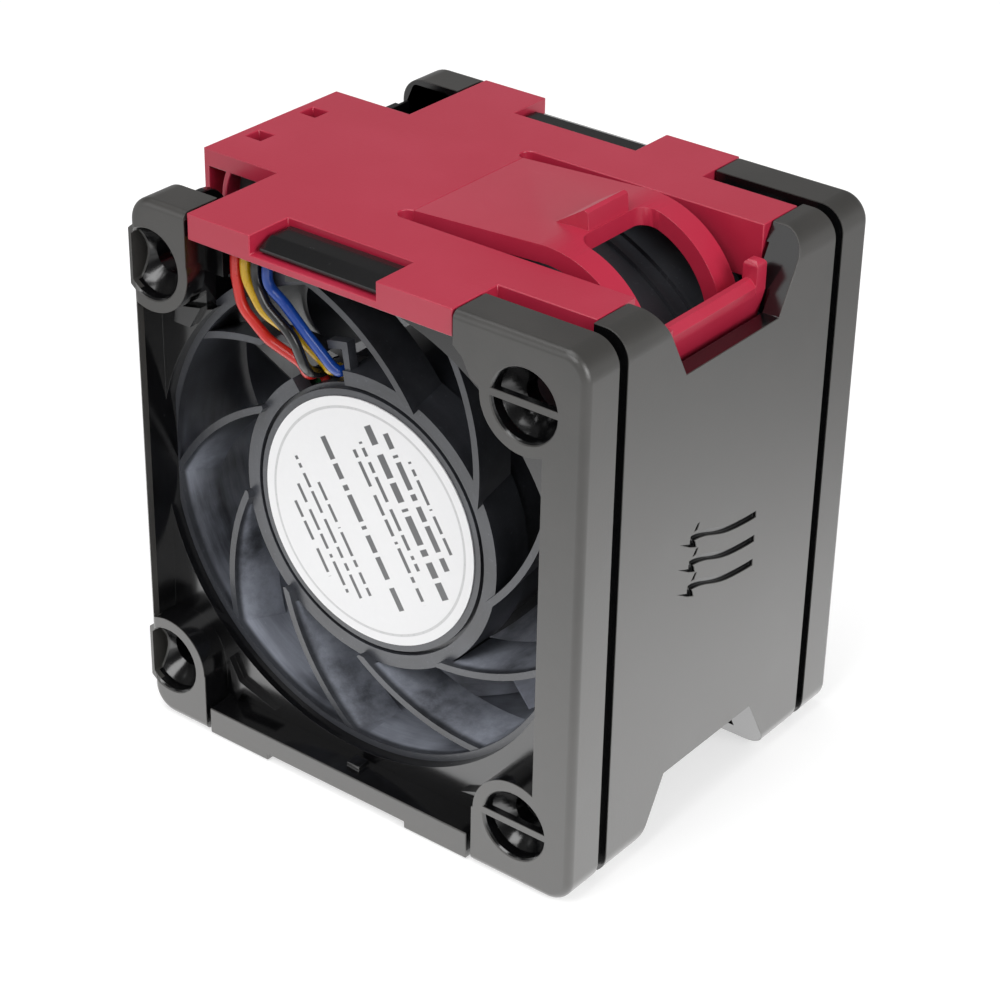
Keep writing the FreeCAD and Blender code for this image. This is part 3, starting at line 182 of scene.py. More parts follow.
class Graph:
    """Node tree of one material or world, written with a single node method."""

    MIX_SHARE, MIX_FIRST, MIX_SECOND, MIX_RESULT = 0, 6, 7, 2

    def __init__(self, name: str, kind: str = "materials") -> None:
        """Starts an empty tree.

        Args:
            name: name of the new material or world.
            kind: the collection of bpy.data that it goes in.
        """
        self.owner = getattr(bpy.data, kind).new(name)
        self.owner.use_nodes = True
        self.tree = self.owner.node_tree
        self.tree.nodes.clear()

    def node(self, kind: str, settings: Optional[dict[str, Any]] = None,
             values: Optional[dict[Union[str, int], Input]] = None) -> bpy.types.Node:
        """Adds a node.

        Args:
            kind: the node's type name.
            settings: its own settings, set first.
            values: what each input socket holds, a number, a colour or a Signal.

        Returns:
            The new node.
        """
        node = self.tree.nodes.new(kind)
        for key, value in (settings or {}).items():
            setattr(node, key, value)
        for key, value in (values or {}).items():
            socket = node.inputs[key]
            if isinstance(value, Signal):
                self.tree.links.new(value.socket, socket)
            elif socket.type == "RGBA" and len(value) == 3:
                socket.default_value = (*value, 1.0)
            else:
                socket.default_value = value
        return node

    def place(self) -> Signal:
        """Object coordinates in metres."""
        return Signal(self, self.node("ShaderNodeTexCoord").outputs["Object"])

    def moved(self, vector: Signal, location: Sequence[float] = (0, 0, 0),
              rotation: Sequence[float] = (0, 0, 0), scale: Sequence[float] = (1, 1, 1)) -> Signal:
        """Coordinates centred, turned or stretched by a Mapping node."""
        values = {"Vector": vector, "Location": location, "Rotation": rotation, "Scale": scale}
        return Signal(self, self.node("ShaderNodeMapping", None, values).outputs["Vector"])

    def about_axis(self, vector: Signal) -> Signal:
        """Coordinates with their origin on the fan axis."""
        return self.moved(vector, location=(0.0, 0.0, -AXIS_HEIGHT * MM))

    def axes(self, vector: Signal) -> tuple[Signal, Signal, Signal]:
        """The three coordinates of a vector."""
        split = self.node("ShaderNodeSeparateXYZ", None, {"Vector": vector})
        return tuple(Signal(self, split.outputs[index]) for index in range(3))

    def noise(self, vector: Signal, layer: Noise) -> Signal:
        """Cloud noise from 0 to 1."""
        values = {"Vector": vector, "Scale": layer.scale, "Detail": layer.detail, "Roughness": layer.rough}
        return Signal(self, self.node("ShaderNodeTexNoise", None, values).outputs[0])

    def mixed(self, share: Input, first: Input, second: Input) -> Signal:
        """Colour that goes from first to second as share goes from 0 to 1."""
        values = {self.MIX_SHARE: share, self.MIX_FIRST: first, self.MIX_SECOND: second}
        node = self.node("ShaderNodeMix", {"data_type": "RGBA"}, values)
        return Signal(self, node.outputs[self.MIX_RESULT])

    def bump(self, height: Signal, strength: float, depth: float) -> Signal:
        """Surface relief; depth is the height of a full step in metres."""
        values = {"Height": height, "Strength": strength, "Distance": depth}
        return Signal(self, self.node("ShaderNodeBump", None, values).outputs["Normal"])

    def surface(self, **sockets: Input) -> bpy.types.Material:
        """Closes the material with one Principled shader.

        Args:
            sockets: the shader's inputs, with underscores for the spaces in their names.

        Returns:
            The finished material.
        """
        values = {key.replace("_", " "): value for key, value in sockets.items()}
        shader = self.node("ShaderNodeBsdfPrincipled", None, values)
        self.node("ShaderNodeOutputMaterial", None, {"Surface": Signal(self, shader.outputs[0])})
        return self.owner


# ------------------------------------------------------------------ finishes
@dataclass(frozen=True)
class MouldedPlastic:
    """Injection-moulded plastic with fine spark grain, faint clouds and rubbed lines.

    A band is the range of a noise over which its layer comes in, and a share is how much of
    the cloud colour that layer adds.
    """

    name: str
    colour: Colour
    cloud: Colour
    cloud_size: float = 9.0
    cloud_detail: float = 4.0
    cloud_rough: float = 0.6
    cloud_band: Band = (0.38, 0.72)
    cloud_share: float = 0.35
    roughness: float = 0.4
    roughness_spread: float = 0.08
    grain: float = 0.16
    grain_depth: float = 0.02
    relief: float = 0.35
    rubs: Noise = Noise(420.0, 3.0, 0.7)
    rub_turn: Triple = (0.4, 0.7, 0.2)
    rub_stretch: Triple = (1.0, 6.0, 1.0)
    rub_band: Band = (0.62, 0.75)
    rub_share: float = 0.12
    rub_shine_band: Band = (0.6, 0.75)
    rub_shine: float = 0.05
    rub_relief: float = 0.3
    gloss: float = 0.5
    coat: float = 0.0
    coat_roughness: float = 0.25

    def build(self) -> bpy.types.Material:
        """Writes the material."""
        graph = Graph(self.name)
        place = graph.place()
        clouds = graph.noise(place, Noise(METRE / self.cloud_size, self.cloud_detail, self.cloud_rough))
        fine = graph.noise(place, Noise(METRE / self.grain))
        rubs = graph.noise(graph.moved(place, rotation=self.rub_turn, scale=self.rub_stretch), self.rubs)
        share = clouds.ease(*self.cloud_band) * self.cloud_share
        share = share + rubs.ease(*self.rub_band) * self.rub_share
        colour = graph.mixed(share, self.colour, self.cloud)
        shine = self.roughness + (clouds - NOISE_MIDDLE) * self.roughness_spread
        shine = shine - rubs.ease(*self.rub_shine_band) * self.rub_shine
        normal = graph.bump(fine + rubs * self.rub_relief, self.relief, self.grain_depth * MM)
        return graph.surface(Base_Color=colour, Roughness=shine, Normal=normal,
                             Specular_IOR_Level=self.gloss, Coat_Weight=self.coat,
                             Coat_Roughness=self.coat_roughness)


@dataclass(frozen=True)
class ShellPlastic:
    """Black plastic, spark-eroded on its outer faces, with a polish and painted shade in its recesses.

    The module's end view is a rounded rectangle with a middle, half a width and height and a
    corner radius, and depth is half its length along the fan axis. A surface is a recess when
    it lies deeper than skin behind that outline and isn't part of the rounded edges.
    """

    name: str = "frame_plastic"
    outer: Colour = srgb(54, 53, 51)
    outer_cloud: Colour = srgb(64, 62, 60)
    # Painted shade: the recesses get a far darker colour than the outer faces, so that they look shaded.
    inner: Colour = srgb(11, 11, 12)
    inner_cloud: Colour = srgb(20, 20, 22)
    middle: tuple[float, float] = (2.35, 32.35)
    half: tuple[float, float] = (30.15, 32.35)
    depth: float = 25.25
    corner: float = 3.0
    edge: float = 0.95
    skin: float = 0.12
    clouds: Noise = Noise(120.0, 4.0, 0.6)
    cloud_band: Band = (0.38, 0.72)
    cloud_share: float = 0.5
    inner_cloud_share: float = 0.6
    dust: Noise = Noise(900.0, 5.0, 0.75)
    dust_band: Band = (0.62, 0.78)
    dust_share: float = 0.4
    matt: float = 0.4
    matt_spread: float = 0.1
    polish: float = 0.17
    dust_matt: float = 0.2
    grain: float = 0.2
    grain_rough: float = 0.55
    grain_depth: float = 0.022
    relief: float = 0.5
    inner_relief: float = 0.3
    gloss: float = 0.75

    def inside(self, graph: Graph) -> Signal:
        """1 on the surfaces that lie behind the outer faces of the module.

        Args:
            graph: the material to write in.

        Returns:
            The mask, from the distance to the module's rounded outline and to its end faces.
        """
        x, y, z = graph.axes(graph.place())
        across, upright = abs(x - self.middle[0] * MM), abs(z - self.middle[1] * MM)
        past_x = (across - (self.half[0] - self.corner) * MM).larger(0.0)
        past_z = (upright - (self.half[1] - self.corner) * MM).larger(0.0)
        rounded = past_x.length_with(past_z) - self.corner * MM
        square = (across - self.half[0] * MM).larger(upright - self.half[1] * MM)
        outline = rounded.larger(square)
        sunk = self.depth * MM - abs(y)
        rounding = (outline > -self.edge * MM) * (sunk < self.edge * MM)
        return (outline < -self.skin * MM) * (sunk > self.skin * MM) * (1.0 - rounding)

    def build(self) -> bpy.types.Material:
        """Writes the material."""
        graph = Graph(self.name)
        place = graph.place()
        # Mask of the recesses, which carries both their polish and their painted shade.
        inside = self.inside(graph)
        clouds = graph.noise(place, self.clouds)
        fine = graph.noise(place, Noise(METRE / self.grain, rough=self.grain_rough))
        dust = graph.noise(place, self.dust).ease(*self.dust_band)
        share = clouds.ease(*self.cloud_band) * self.cloud_share
        textured = graph.mixed(share, self.outer, self.outer_cloud)
        lifted = share * self.inner_cloud_share + dust * self.dust_share
        # Painted shade: the recesses take the dark colour, with the clouds and dust on top of it.
        polished_and_shaded = graph.mixed(lifted, self.inner, self.inner_cloud)
        colour = graph.mixed(inside, textured, polished_and_shaded)
        matt = self.matt + (clouds - NOISE_MIDDLE) * self.matt_spread
        glossy = self.polish + dust * self.dust_matt
        shine = matt * (1.0 - inside) + glossy * inside
        relief = fine * (1.0 - inside) + clouds * inside * self.inner_relief
        return graph.surface(Base_Color=colour, Roughness=shine, Specular_IOR_Level=self.gloss,
                             Normal=graph.bump(relief, self.relief, self.grain_depth * MM))


@dataclass(frozen=True)
class AirPlastic:
    """Slate plastic of the air path: black walls with dust, which low down in the bore is partly painted
    light.

    Heights are over the fan axis, and places along it are from the module's middle, with the
    inlet at the positive end. The dust starts between clean_edge and dust_and_light_from, lies outside
    the hub's ring, thins out from dust_and_light_below up to clean_above, further up on the left by
    side_lean, and falls to inlet_share towards the inlet. Its heavier share low in the bore is
    painted light on the lower walls as well as dust. Elsewhere in the bore the share called least
    of it stays, and the barrel's outside has the share called outside.
    """

    name: str
    colour: Colour
    # Light grey that is dust, and low down in the bore also painted light.
    dust: Colour
    share: float
    streak: float = 0.5
    least: float = 0.12
    outside: float = 0.08
    clean_edge: float = -19.6
    dust_and_light_from: float = -18.8
    ring: float = 17.6
    bore: float = 27.35
    clean_above: float = 1.0
    dust_and_light_below: float = -11.0
    side_lean: float = 0.2
    inlet_share: float = 0.3
    inlet_from: float = -2.0
    inlet_to: float = 12.0
    swirl: Triple = (3.0, 1.5, 0.006)
    streaks: Noise = Noise(300.0, 5.0, 0.7)
    streak_band: Band = (0.3, 0.72)
    patches: Noise = Noise(110.0, 3.0, 0.5)
    patch_band: Band = (0.22, 0.72)
    patch_relief: float = 0.5
    specks: Noise = Noise(2600.0, 2.0, 0.6)
    speck_band: Band = (0.6, 0.8)
    speck_share: float = 0.1
    speck_depth: float = 0.02
    relief: float = 0.3
    roughness: float = 0.33
    dust_matt: float = 0.3
    gloss: float = 0.6

    def build(self) -> bpy.types.Material:
        """Writes the material."""
        graph = Graph(self.name)
        place = graph.place()
        x, y, z = graph.axes(graph.about_axis(place))
        reach = x.length_with(z)
        coiled = {0: reach * self.swirl[0], 1: y * self.swirl[1], 2: x.angle_to(z) * self.swirl[2]}
        coil = graph.node("ShaderNodeCombineXYZ", None, coiled)
        streaks = graph.noise(Signal(graph, coil.outputs[0]), self.streaks)
        patches = graph.noise(place, self.patches)
        specks = graph.noise(place, self.specks)
        dust_and_light = patches.ease(*self.patch_band) * (1.0 - self.streak)
        dust_and_light = dust_and_light + streaks.ease(*self.streak_band) * self.streak
        within = y.ease(self.clean_edge * MM, self.dust_and_light_from * MM) * (reach > self.ring * MM)
        within = within * y.ease(self.inlet_from * MM, self.inlet_to * MM, 1.0, self.inlet_share)
        # Painted light: the light dust colour is strongest low down in the bore, as if its lower walls were
        # lit.
        low = (z + x * self.side_lean).ease(self.dust_and_light_below * MM, self.clean_above * MM, 1.0, 0.0)
        dust_and_light = dust_and_light * (within * low * (1.0 - self.least) + self.least) * self.share
        inside = reach < self.bore * MM
        dust_and_light = dust_and_light * inside + (1.0 - inside) * self.outside
        share = dust_and_light + specks.ease(*self.speck_band) * self.speck_share
        relief = specks + patches * self.patch_relief
        shine = self.roughness + dust_and_light * self.dust_matt
        return graph.surface(Base_Color=graph.mixed(share, self.colour, self.dust), Roughness=shine,
                             Specular_IOR_Level=self.gloss,
                             Normal=graph.bump(relief, self.relief, self.speck_depth * MM))


@dataclass(frozen=True)
class RolledSteel:
    """Ground or rolled metal with fine lines along one direction."""

    name: str
    colour: Colour
    roughness: float = 0.3
    line_size: float = 0.25
    stretch: Triple = (1.0, 0.05, 1.0)
    line_detail: float = 3.0
    line_rough: float = 0.7
    line_matt: float = 0.12
    line_depth: float = 0.01
    relief: float = 0.25
    stain: Noise = Noise(260.0, 3.0, 0.6)
    stain_band: Band = (0.35, 0.7)
    stain_dark: float = 0.72

    def build(self) -> bpy.types.Material:
        """Writes the material."""
        graph = Graph(self.name)
        place = graph.place()
        drawn = graph.moved(place, scale=self.stretch)
        lines = graph.noise(drawn, Noise(METRE / self.line_size, self.line_detail, self.line_rough))
        stain = graph.noise(place, self.stain)
        dark = tuple(part * self.stain_dark for part in self.colour)
        colour = graph.mixed(stain.ease(*self.stain_band), self.colour, dark)
        shine = self.roughness + lines * self.line_matt
        return graph.surface(Base_Color=colour, Metallic=1.0, Roughness=shine,
                             Normal=graph.bump(lines, self.relief, self.line_depth * MM))


@dataclass(frozen=True)
class WoundCopper:
    """Enamelled copper turns laid side by side round the fan axis."""

    name: str = "coil_enamel"
    shaded: Colour = srgb(96, 40, 18)
    lit: Colour = srgb(190, 98, 48)
    pitch: float = 0.32
    turn_share: float = 0.6
    turn_depth: float = 0.08
    relief: float = 0.6
    tone: Noise = Noise(500.0, 3.0, 0.6)
    tone_share: float = 0.4
    tone_matt: float = 0.1
    roughness: float = 0.28
    metallic: float = 0.55
    coat: float = 0.4

    def build(self) -> bpy.types.Material:
        """Writes the material."""
        graph = Graph(self.name)
        place = graph.place()
        x, _, z = graph.axes(graph.about_axis(place))
        turns = x.length_with(z).wave(self.pitch * MM) * 0.5 + 0.5
        tone = graph.noise(place, self.tone)
        colour = graph.mixed(turns * self.turn_share + tone * self.tone_share, self.shaded, self.lit)
        return graph.surface(Base_Color=colour, Roughness=self.roughness + tone * self.tone_matt,
                             Metallic=self.metallic, Coat_Weight=self.coat,
                             Normal=graph.bump(turns, self.relief, self.turn_depth * MM))


@dataclass(frozen=True)
class SolderMask:
    """Green circuit board laminate with ring-shaped traces under the mask."""

    name: str = "board_laminate"
    bare: Colour = srgb(20, 74, 44)
    traced: Colour = srgb(52, 128, 76)
    pitch: float = 1.3
    trace_band: Band = (0.55, 0.75)
    trace_share: float = 0.6
    trace_depth: float = 0.03
    relief: float = 0.4
    weave: Noise = Noise(2200.0)
    weave_share: float = 0.15
    weave_relief: float = 0.2
    weave_matt: float = 0.1
    roughness: float = 0.32

    def build(self) -> bpy.types.Material:
        """Writes the material."""
        graph = Graph(self.name)
        place = graph.place()
        x, _, z = graph.axes(graph.about_axis(place))
        traces = x.length_with(z).wave(self.pitch * MM).ease(*self.trace_band)
        weave = graph.noise(place, self.weave)
        colour = graph.mixed(traces * self.trace_share + weave * self.weave_share, self.bare, self.traced)
        relief = traces + weave * self.weave_relief
        return graph.surface(Base_Color=colour, Roughness=self.roughness + weave * self.weave_matt,
                             Normal=graph.bump(relief, self.relief, self.trace_depth * MM))


@dataclass(frozen=True)
class PrintedFilm:
    """Glossy white film with rows of generic grey bars inside a thin ring, no lettering.

    Two waves of different pitch cut each row into bars, so that their lengths vary. There is
    no print at the bottom of a wave, and a gap's two levels are where it ends and has ended.
    """

    name: str = "label_film"
    tilt: float = math.radians(-58.0)
    paper: Colour = srgb(248, 248, 249)
    ink: Colour = srgb(58, 59, 62)
    word: float = 2.9
    word_ratio: float = 1.618
    phases: tuple[float, float] = (1.7, 2.9)
    gaps: tuple[Band, Band] = ((-0.93, -0.88), (-0.95, -0.91))
    blur: float = 0.05
    ring: float = 13.3
    ring_half: float = 0.15
    ring_share: float = 0.35
    ink_share: float = 0.95
    ink_matt: float = 0.15
    ink_relief: float = 0.1
    specks: Noise = Noise(1600.0)
    speck_share: float = 0.03
    speck_matt: float = 0.05
    waves: Noise = Noise(160.0)
    wave_depth: float = 0.05
    relief: float = 0.12
    roughness: float = 0.2
    coat: float = 0.3
    coat_roughness: float = 0.1

    # Each row's height over the middle, its own middle along the text line, half its length, its thickness.
    ROWS = ((9.9, 0.4, 5.4, 0.45), (8.3, -0.6, 8.0, 0.8), (6.2, 0.2, 10.2, 1.0), (4.2, -1.0, 7.6, 0.5),
            (2.8, 1.2, 9.2, 0.5), (-0.9, 0.0, 10.4, 0.8), (-4.6, 0.9, 7.0, 0.45), (-6.2, -0.5, 8.8, 0.45),
            (-7.8, 0.3, 6.6, 0.45), (-9.4, 0.0, 4.6, 0.45))

    def bars(self, along: Signal, across: Signal) -> Signal:
        """1 in the bars of all the rows.

        Args:
            along: place along the rows, in metres from the label's middle.
            across: place across them.

        Returns:
            The mask of the bars.
        """
        bars = None
        for height, middle, half, thick in self.ROWS:
            bar = (across - height * MM).within(thick / 2 * MM, self.blur * MM)
            bar = bar * (along - middle * MM).within(half * MM, self.blur * MM)
            pitch = (self.word + thick) * MM
            for period, phase, gap in zip((pitch, pitch * self.word_ratio), self.phases, self.gaps):
                bar = bar * along.wave(period, height * phase).ease(*gap)
            bars = bar if bars is None else bars.larger(bar)
        return bars

    def build(self) -> bpy.types.Material:
        """Writes the material."""
        graph = Graph(self.name)
        place = graph.place()
        centred = graph.about_axis(place)
        x, _, z = graph.axes(centred)
        along, _, across = graph.axes(graph.moved(centred, rotation=(0.0, self.tilt, 0.0)))
        rim = (x.length_with(z) - self.ring * MM).within(self.ring_half * MM, self.blur * MM)
        printed = self.bars(along, across).larger(rim * self.ring_share)
        specks = graph.noise(place, self.specks)
        colour = graph.mixed(printed * self.ink_share + specks * self.speck_share, self.paper, self.ink)
        shine = self.roughness + printed * self.ink_matt + specks * self.speck_matt
        relief = graph.noise(place, self.waves) + printed * self.ink_relief
        return graph.surface(Base_Color=colour, Roughness=shine, Coat_Weight=self.coat,
                             Coat_Roughness=self.coat_roughness,
                             Normal=graph.bump(relief, self.relief, self.wave_depth * MM))


def lead(name: str, colour: Colour, cloud: Colour) -> MouldedPlastic:
    """Glossy insulation of one lead."""
    return MouldedPlastic(name, colour, cloud, cloud_size=3.0, roughness=0.28, coat=0.4)


class Finishes:
    """All materials of the module, built once and shared by name."""

    PLASTICS: tuple[MouldedPlastic, ...] = (
        MouldedPlastic("carrier_plastic", srgb(176, 36, 62), srgb(186, 52, 77), cloud_size=14.0,
                       roughness=0.34, grain_depth=0.03, gloss=0.65, coat=0.15),
        MouldedPlastic("plug_plastic", srgb(28, 28, 30), srgb(44, 44, 46), roughness=0.35),
        MouldedPlastic("chip_plastic", srgb(24, 25, 27), srgb(48, 49, 52), roughness=0.45),
        MouldedPlastic("insulator_plastic", srgb(208, 202, 186), srgb(186, 178, 160), roughness=0.5),
        MouldedPlastic("magnet_rubber", srgb(50, 46, 42), srgb(74, 69, 63), roughness=0.7,
                       grain_depth=0.04),
        lead("lead_red", srgb(204, 36, 32), srgb(214, 58, 48)),
        lead("lead_black", srgb(13, 13, 14), srgb(26, 27, 29)),
        lead("lead_yellow", srgb(208, 166, 18), srgb(216, 180, 44)),
        lead("lead_blue", srgb(14, 62, 150), srgb(26, 82, 172)),
    )
    AIR_PATH: tuple[AirPlastic, ...] = (
        # Their light grey second colour is dust, and low down in the bore also painted light.
        AirPlastic("duct_plastic", srgb(29, 30, 33), srgb(172, 177, 190), 1.0, 0.3),
        AirPlastic("rotor_plastic", srgb(27, 28, 32), srgb(170, 174, 188), 1.0, 0.3, least=0.08),
    )
    METALS: tuple[RolledSteel, ...] = (
        RolledSteel("bearing_steel", (0.56, 0.57, 0.58), 0.22),
        RolledSteel("spring_steel", (0.42, 0.43, 0.44), 0.3),
        RolledSteel("shaft_steel", (0.66, 0.67, 0.68), 0.12),
        RolledSteel("lamination_steel", (0.30, 0.31, 0.32), 0.42, 0.5, (0.05, 1.0, 0.05)),
        RolledSteel("yoke_steel", (0.38, 0.39, 0.40), 0.34),
        RolledSteel("bush_brass", (0.60, 0.43, 0.18), 0.26),
        RolledSteel("contact_brass", (0.72, 0.55, 0.25), 0.2),
    )

    def __init__(self) -> None:
        """Builds every finish."""
        makers = (*self.PLASTICS, *self.AIR_PATH, *self.METALS, ShellPlastic(),
                  ShellPlastic("rail_plastic"), WoundCopper(), SolderMask(), PrintedFilm())
        self.materials = {maker.name: maker.build() for maker in makers}

    def dress(self, piece: bpy.types.Object, name: str) -> None:
        """Puts one finish on the whole of a piece."""
        piece.data.materials.clear()
        piece.data.materials.append(self.materials[name])


# ------------------------------------------------------------------ studio
@dataclass(frozen=True)
class Lamp:
    """One soft box: where it stands and its two sides, in metres, and its power."""

    name: str
    place: tuple[float, float, float]
    size: tuple[float, float]
    watts: float


@dataclass(frozen=True)
class Studio:
    """Pale floor, soft lamps and the camera.

    The camera's aim, slides and distance are in millimetres, as are its lens and sensor. The
    floor, the range of its glow, the camera's clipping and the lamps are in metres.
    """

    azimuth: float = math.radians(37.472)
    elevation: float = math.radians(29.828)
    roll: float = math.radians(1.172)
    aim_height: float = 32.0
    slide_right: float = -2.325
    slide_up: float = 4.706
    distance: float = 304.079
    lens: float = 97.72
    sensor: float = 36.0
    clip: tuple[float, float] = (0.01, 20.0)
    floor_size: float = 6.0
    floor_drop: float = 0.0002
    glow_camera: float = 0.55
    glow_near: float = 1.9
    glow_far: float = 0.12
    glow_from: float = 0.035
    glow_to: float = 0.15
    ambient: float = 0.42
    sky_low: float = 0.02
    sky_high: float = 0.45
    sky_dim: float = 0.14
    paper: Colour = (0.62, 0.62, 0.62)
    lamps: tuple[Lamp, ...] = (
        Lamp("overhead", (-0.10, -0.06, 0.62), (0.40, 0.40), 1.25),
        Lamp("front_high", (0.02, -0.42, 0.44), (0.26, 0.26), 1.05),
        Lamp("front_left", (-0.42, -0.55, 0.30), (0.40, 0.40), 0.6),
        Lamp("right", (0.62, -0.10, 0.30), (0.40, 0.40), 2.9),
    )

    def camera(self) -> None:
        """Places the camera from its angles, distance and sideways slides."""
        sin_a, cos_a = math.sin(self.azimuth), math.cos(self.azimuth)
        sin_e, cos_e = math.sin(self.elevation), math.cos(self.elevation)
        back = Vector((sin_a * cos_e, -cos_a * cos_e, sin_e))
        level = Vector((cos_a, sin_a, 0.0))
        upright = back.cross(level)
        right = level * math.cos(self.roll) + upright * math.sin(self.roll)
        up = upright * math.cos(self.roll) - level * math.sin(self.roll)
        spot = back * self.distance - right * self.slide_right - up * self.slide_up
        spot += Vector((0.0, 0.0, self.aim_height))
        data = bpy.data.cameras.new("camera")
        data.lens, data.sensor_width = self.lens, self.sensor
        data.clip_start, data.clip_end = self.clip
        camera = bpy.data.objects.new("camera", data)
        turn = Matrix((right, up, back)).transposed().to_4x4()
        camera.matrix_world = Matrix.Translation(spot * MM) @ turn
        bpy.context.scene.collection.objects.link(camera)
        bpy.context.scene.camera = camera

    def lights(self) -> None:
        """Hangs the soft boxes, each aimed at the middle of the module."""
        aim = Vector((0.0, 0.0, self.aim_height * MM))
        for lamp in self.lamps:
            data = bpy.data.lights.new(lamp.name, "AREA")
            data.shape = "RECTANGLE"
            data.size, data.size_y = lamp.size
            data.energy = lamp.watts
            light = bpy.data.objects.new(lamp.name, data)
            light.location = lamp.place
            light.rotation_mode = "QUATERNION"
            light.rotation_quaternion = (aim - Vector(lamp.place)).to_track_quat("-Z", "Y")
            bpy.context.scene.collection.objects.link(light)

    def world(self) -> None:
        """White to the camera, bright low down and dimmer above to reflections, even to the rest."""
        graph = Graph("studio", "worlds")
        path = graph.node("ShaderNodeLightPath")
        way = graph.node("ShaderNodeTexCoord")
        _, _, height = graph.axes(Signal(graph, way.outputs["Generated"]))
        upper = height.ease(self.sky_low, self.sky_high, 1.0, self.sky_dim)
        mirrored = Signal(graph, path.outputs["Is Glossy Ray"])
        seen = Signal(graph, path.outputs["Is Camera Ray"])
        around = upper * mirrored + (1.0 - mirrored) * self.ambient
        sky = graph.node("ShaderNodeBackground", None, {"Strength": seen + around * (1.0 - seen)})
        graph.node("ShaderNodeOutputWorld", None, {"Surface": Signal(graph, sky.outputs[0])})
        bpy.context.scene.world = graph.owner

    def floor(self) -> None:
        """Pale floor with an even glow for the camera and one that fades outwards for reflections."""
        bpy.ops.mesh.primitive_plane_add(size=self.floor_size, location=(0.0, 0.0, -self.floor_drop))
        floor = bpy.context.active_object
        floor.name = "floor"
        graph = Graph("floor_paper")
        path = graph.node("ShaderNodeLightPath")
        x, y, _ = graph.axes(graph.place())
        near = x.length_with(y).ease(self.glow_from, self.glow_to, self.glow_near, self.glow_far)
        seen = Signal(graph, path.outputs["Is Camera Ray"]) * self.glow_camera
        mirrored = Signal(graph, path.outputs["Is Glossy Ray"]) * near
        paper = graph.node("ShaderNodeBsdfDiffuse", None, {"Color": self.paper})
        white = {"Color": (1.0, 1.0, 1.0), "Strength": seen + mirrored}
        glow = graph.node("ShaderNodeEmission", None, white)
        both = graph.node("ShaderNodeAddShader", None,
                          {0: Signal(graph, paper.outputs[0]), 1: Signal(graph, glow.outputs[0])})
        graph.node("ShaderNodeOutputMaterial", None, {"Surface": Signal(graph, both.outputs[0])})
        floor.data.materials.append(graph.owner)

    def build(self) -> None:
        """Sets the whole studio."""
        bpy.context.scene.view_settings.view_transform = "Standard"
        self.camera()
        self.lights()
        self.world()
        self.floor()


# ------------------------------------------------------------------ pieces
def take(piece: bpy.types.Object) -> None:
    """Makes the piece the only selected and active one."""
    bpy.ops.object.select_all(action="DESELECT")
    piece.select_set(True)
    bpy.context.view_layer.objects.active = piece


@dataclass(frozen=True)
class Block:
    """Box of room between two corners in millimetres, with its edges rounded where asked."""

    low: Triple
    high: Triple
    rounding: float = 0.0
    segments: int = 4

    def holds(self, point: Vector) -> bool:
        """Whether a point in metres lies in the box."""
        return all(a <= value / MM <= b for a, value, b in zip(self.low, point, self.high))

    def build(self) -> bpy.types.Object:
        """Models the box.

        Returns:
            The new object, at the origin with its place in its mesh.
        """
        bpy.ops.mesh.primitive_cube_add(size=1.0)
        block = bpy.context.active_object
        bpy.ops.object.mode_set(mode="EDIT")
        bpy.ops.mesh.select_all(action="SELECT")
        span = [(b - a) * MM for a, b in zip(self.low, self.high)]
        middle = [(a + b) / 2 * MM for a, b in zip(self.low, self.high)]
        bpy.ops.transform.resize(value=span, center_override=(0.0, 0.0, 0.0))
        bpy.ops.transform.translate(value=middle)
        if self.rounding:
            bpy.ops.mesh.bevel(offset=self.rounding * MM, segments=self.segments, affect="EDGES")
        bpy.ops.object.mode_set(mode="OBJECT")
        return block


@dataclass(frozen=True)
class Corner:
    """Edges of a moulding that are rounded more than the rest: all that lie in a box."""

    where: Block
    radius: float
    segments: int = 6

    def round_off(self, piece: bpy.types.Object) -> None:
        """Bevels those edges of the piece, which is the active one."""
        bpy.ops.object.mode_set(mode="EDIT")
        bpy.ops.mesh.select_mode(type="EDGE")
        bpy.ops.mesh.select_all(action="DESELECT")
        bpy.ops.object.mode_set(mode="OBJECT")
        for edge in piece.data.edges:
            edge.select = all(self.where.holds(piece.data.vertices[index].co) for index in edge.vertices)
        bpy.ops.object.mode_set(mode="EDIT")
        bpy.ops.mesh.bevel(offset=self.radius * MM, segments=self.segments, affect="EDGES")
        bpy.ops.object.mode_set(mode="OBJECT")


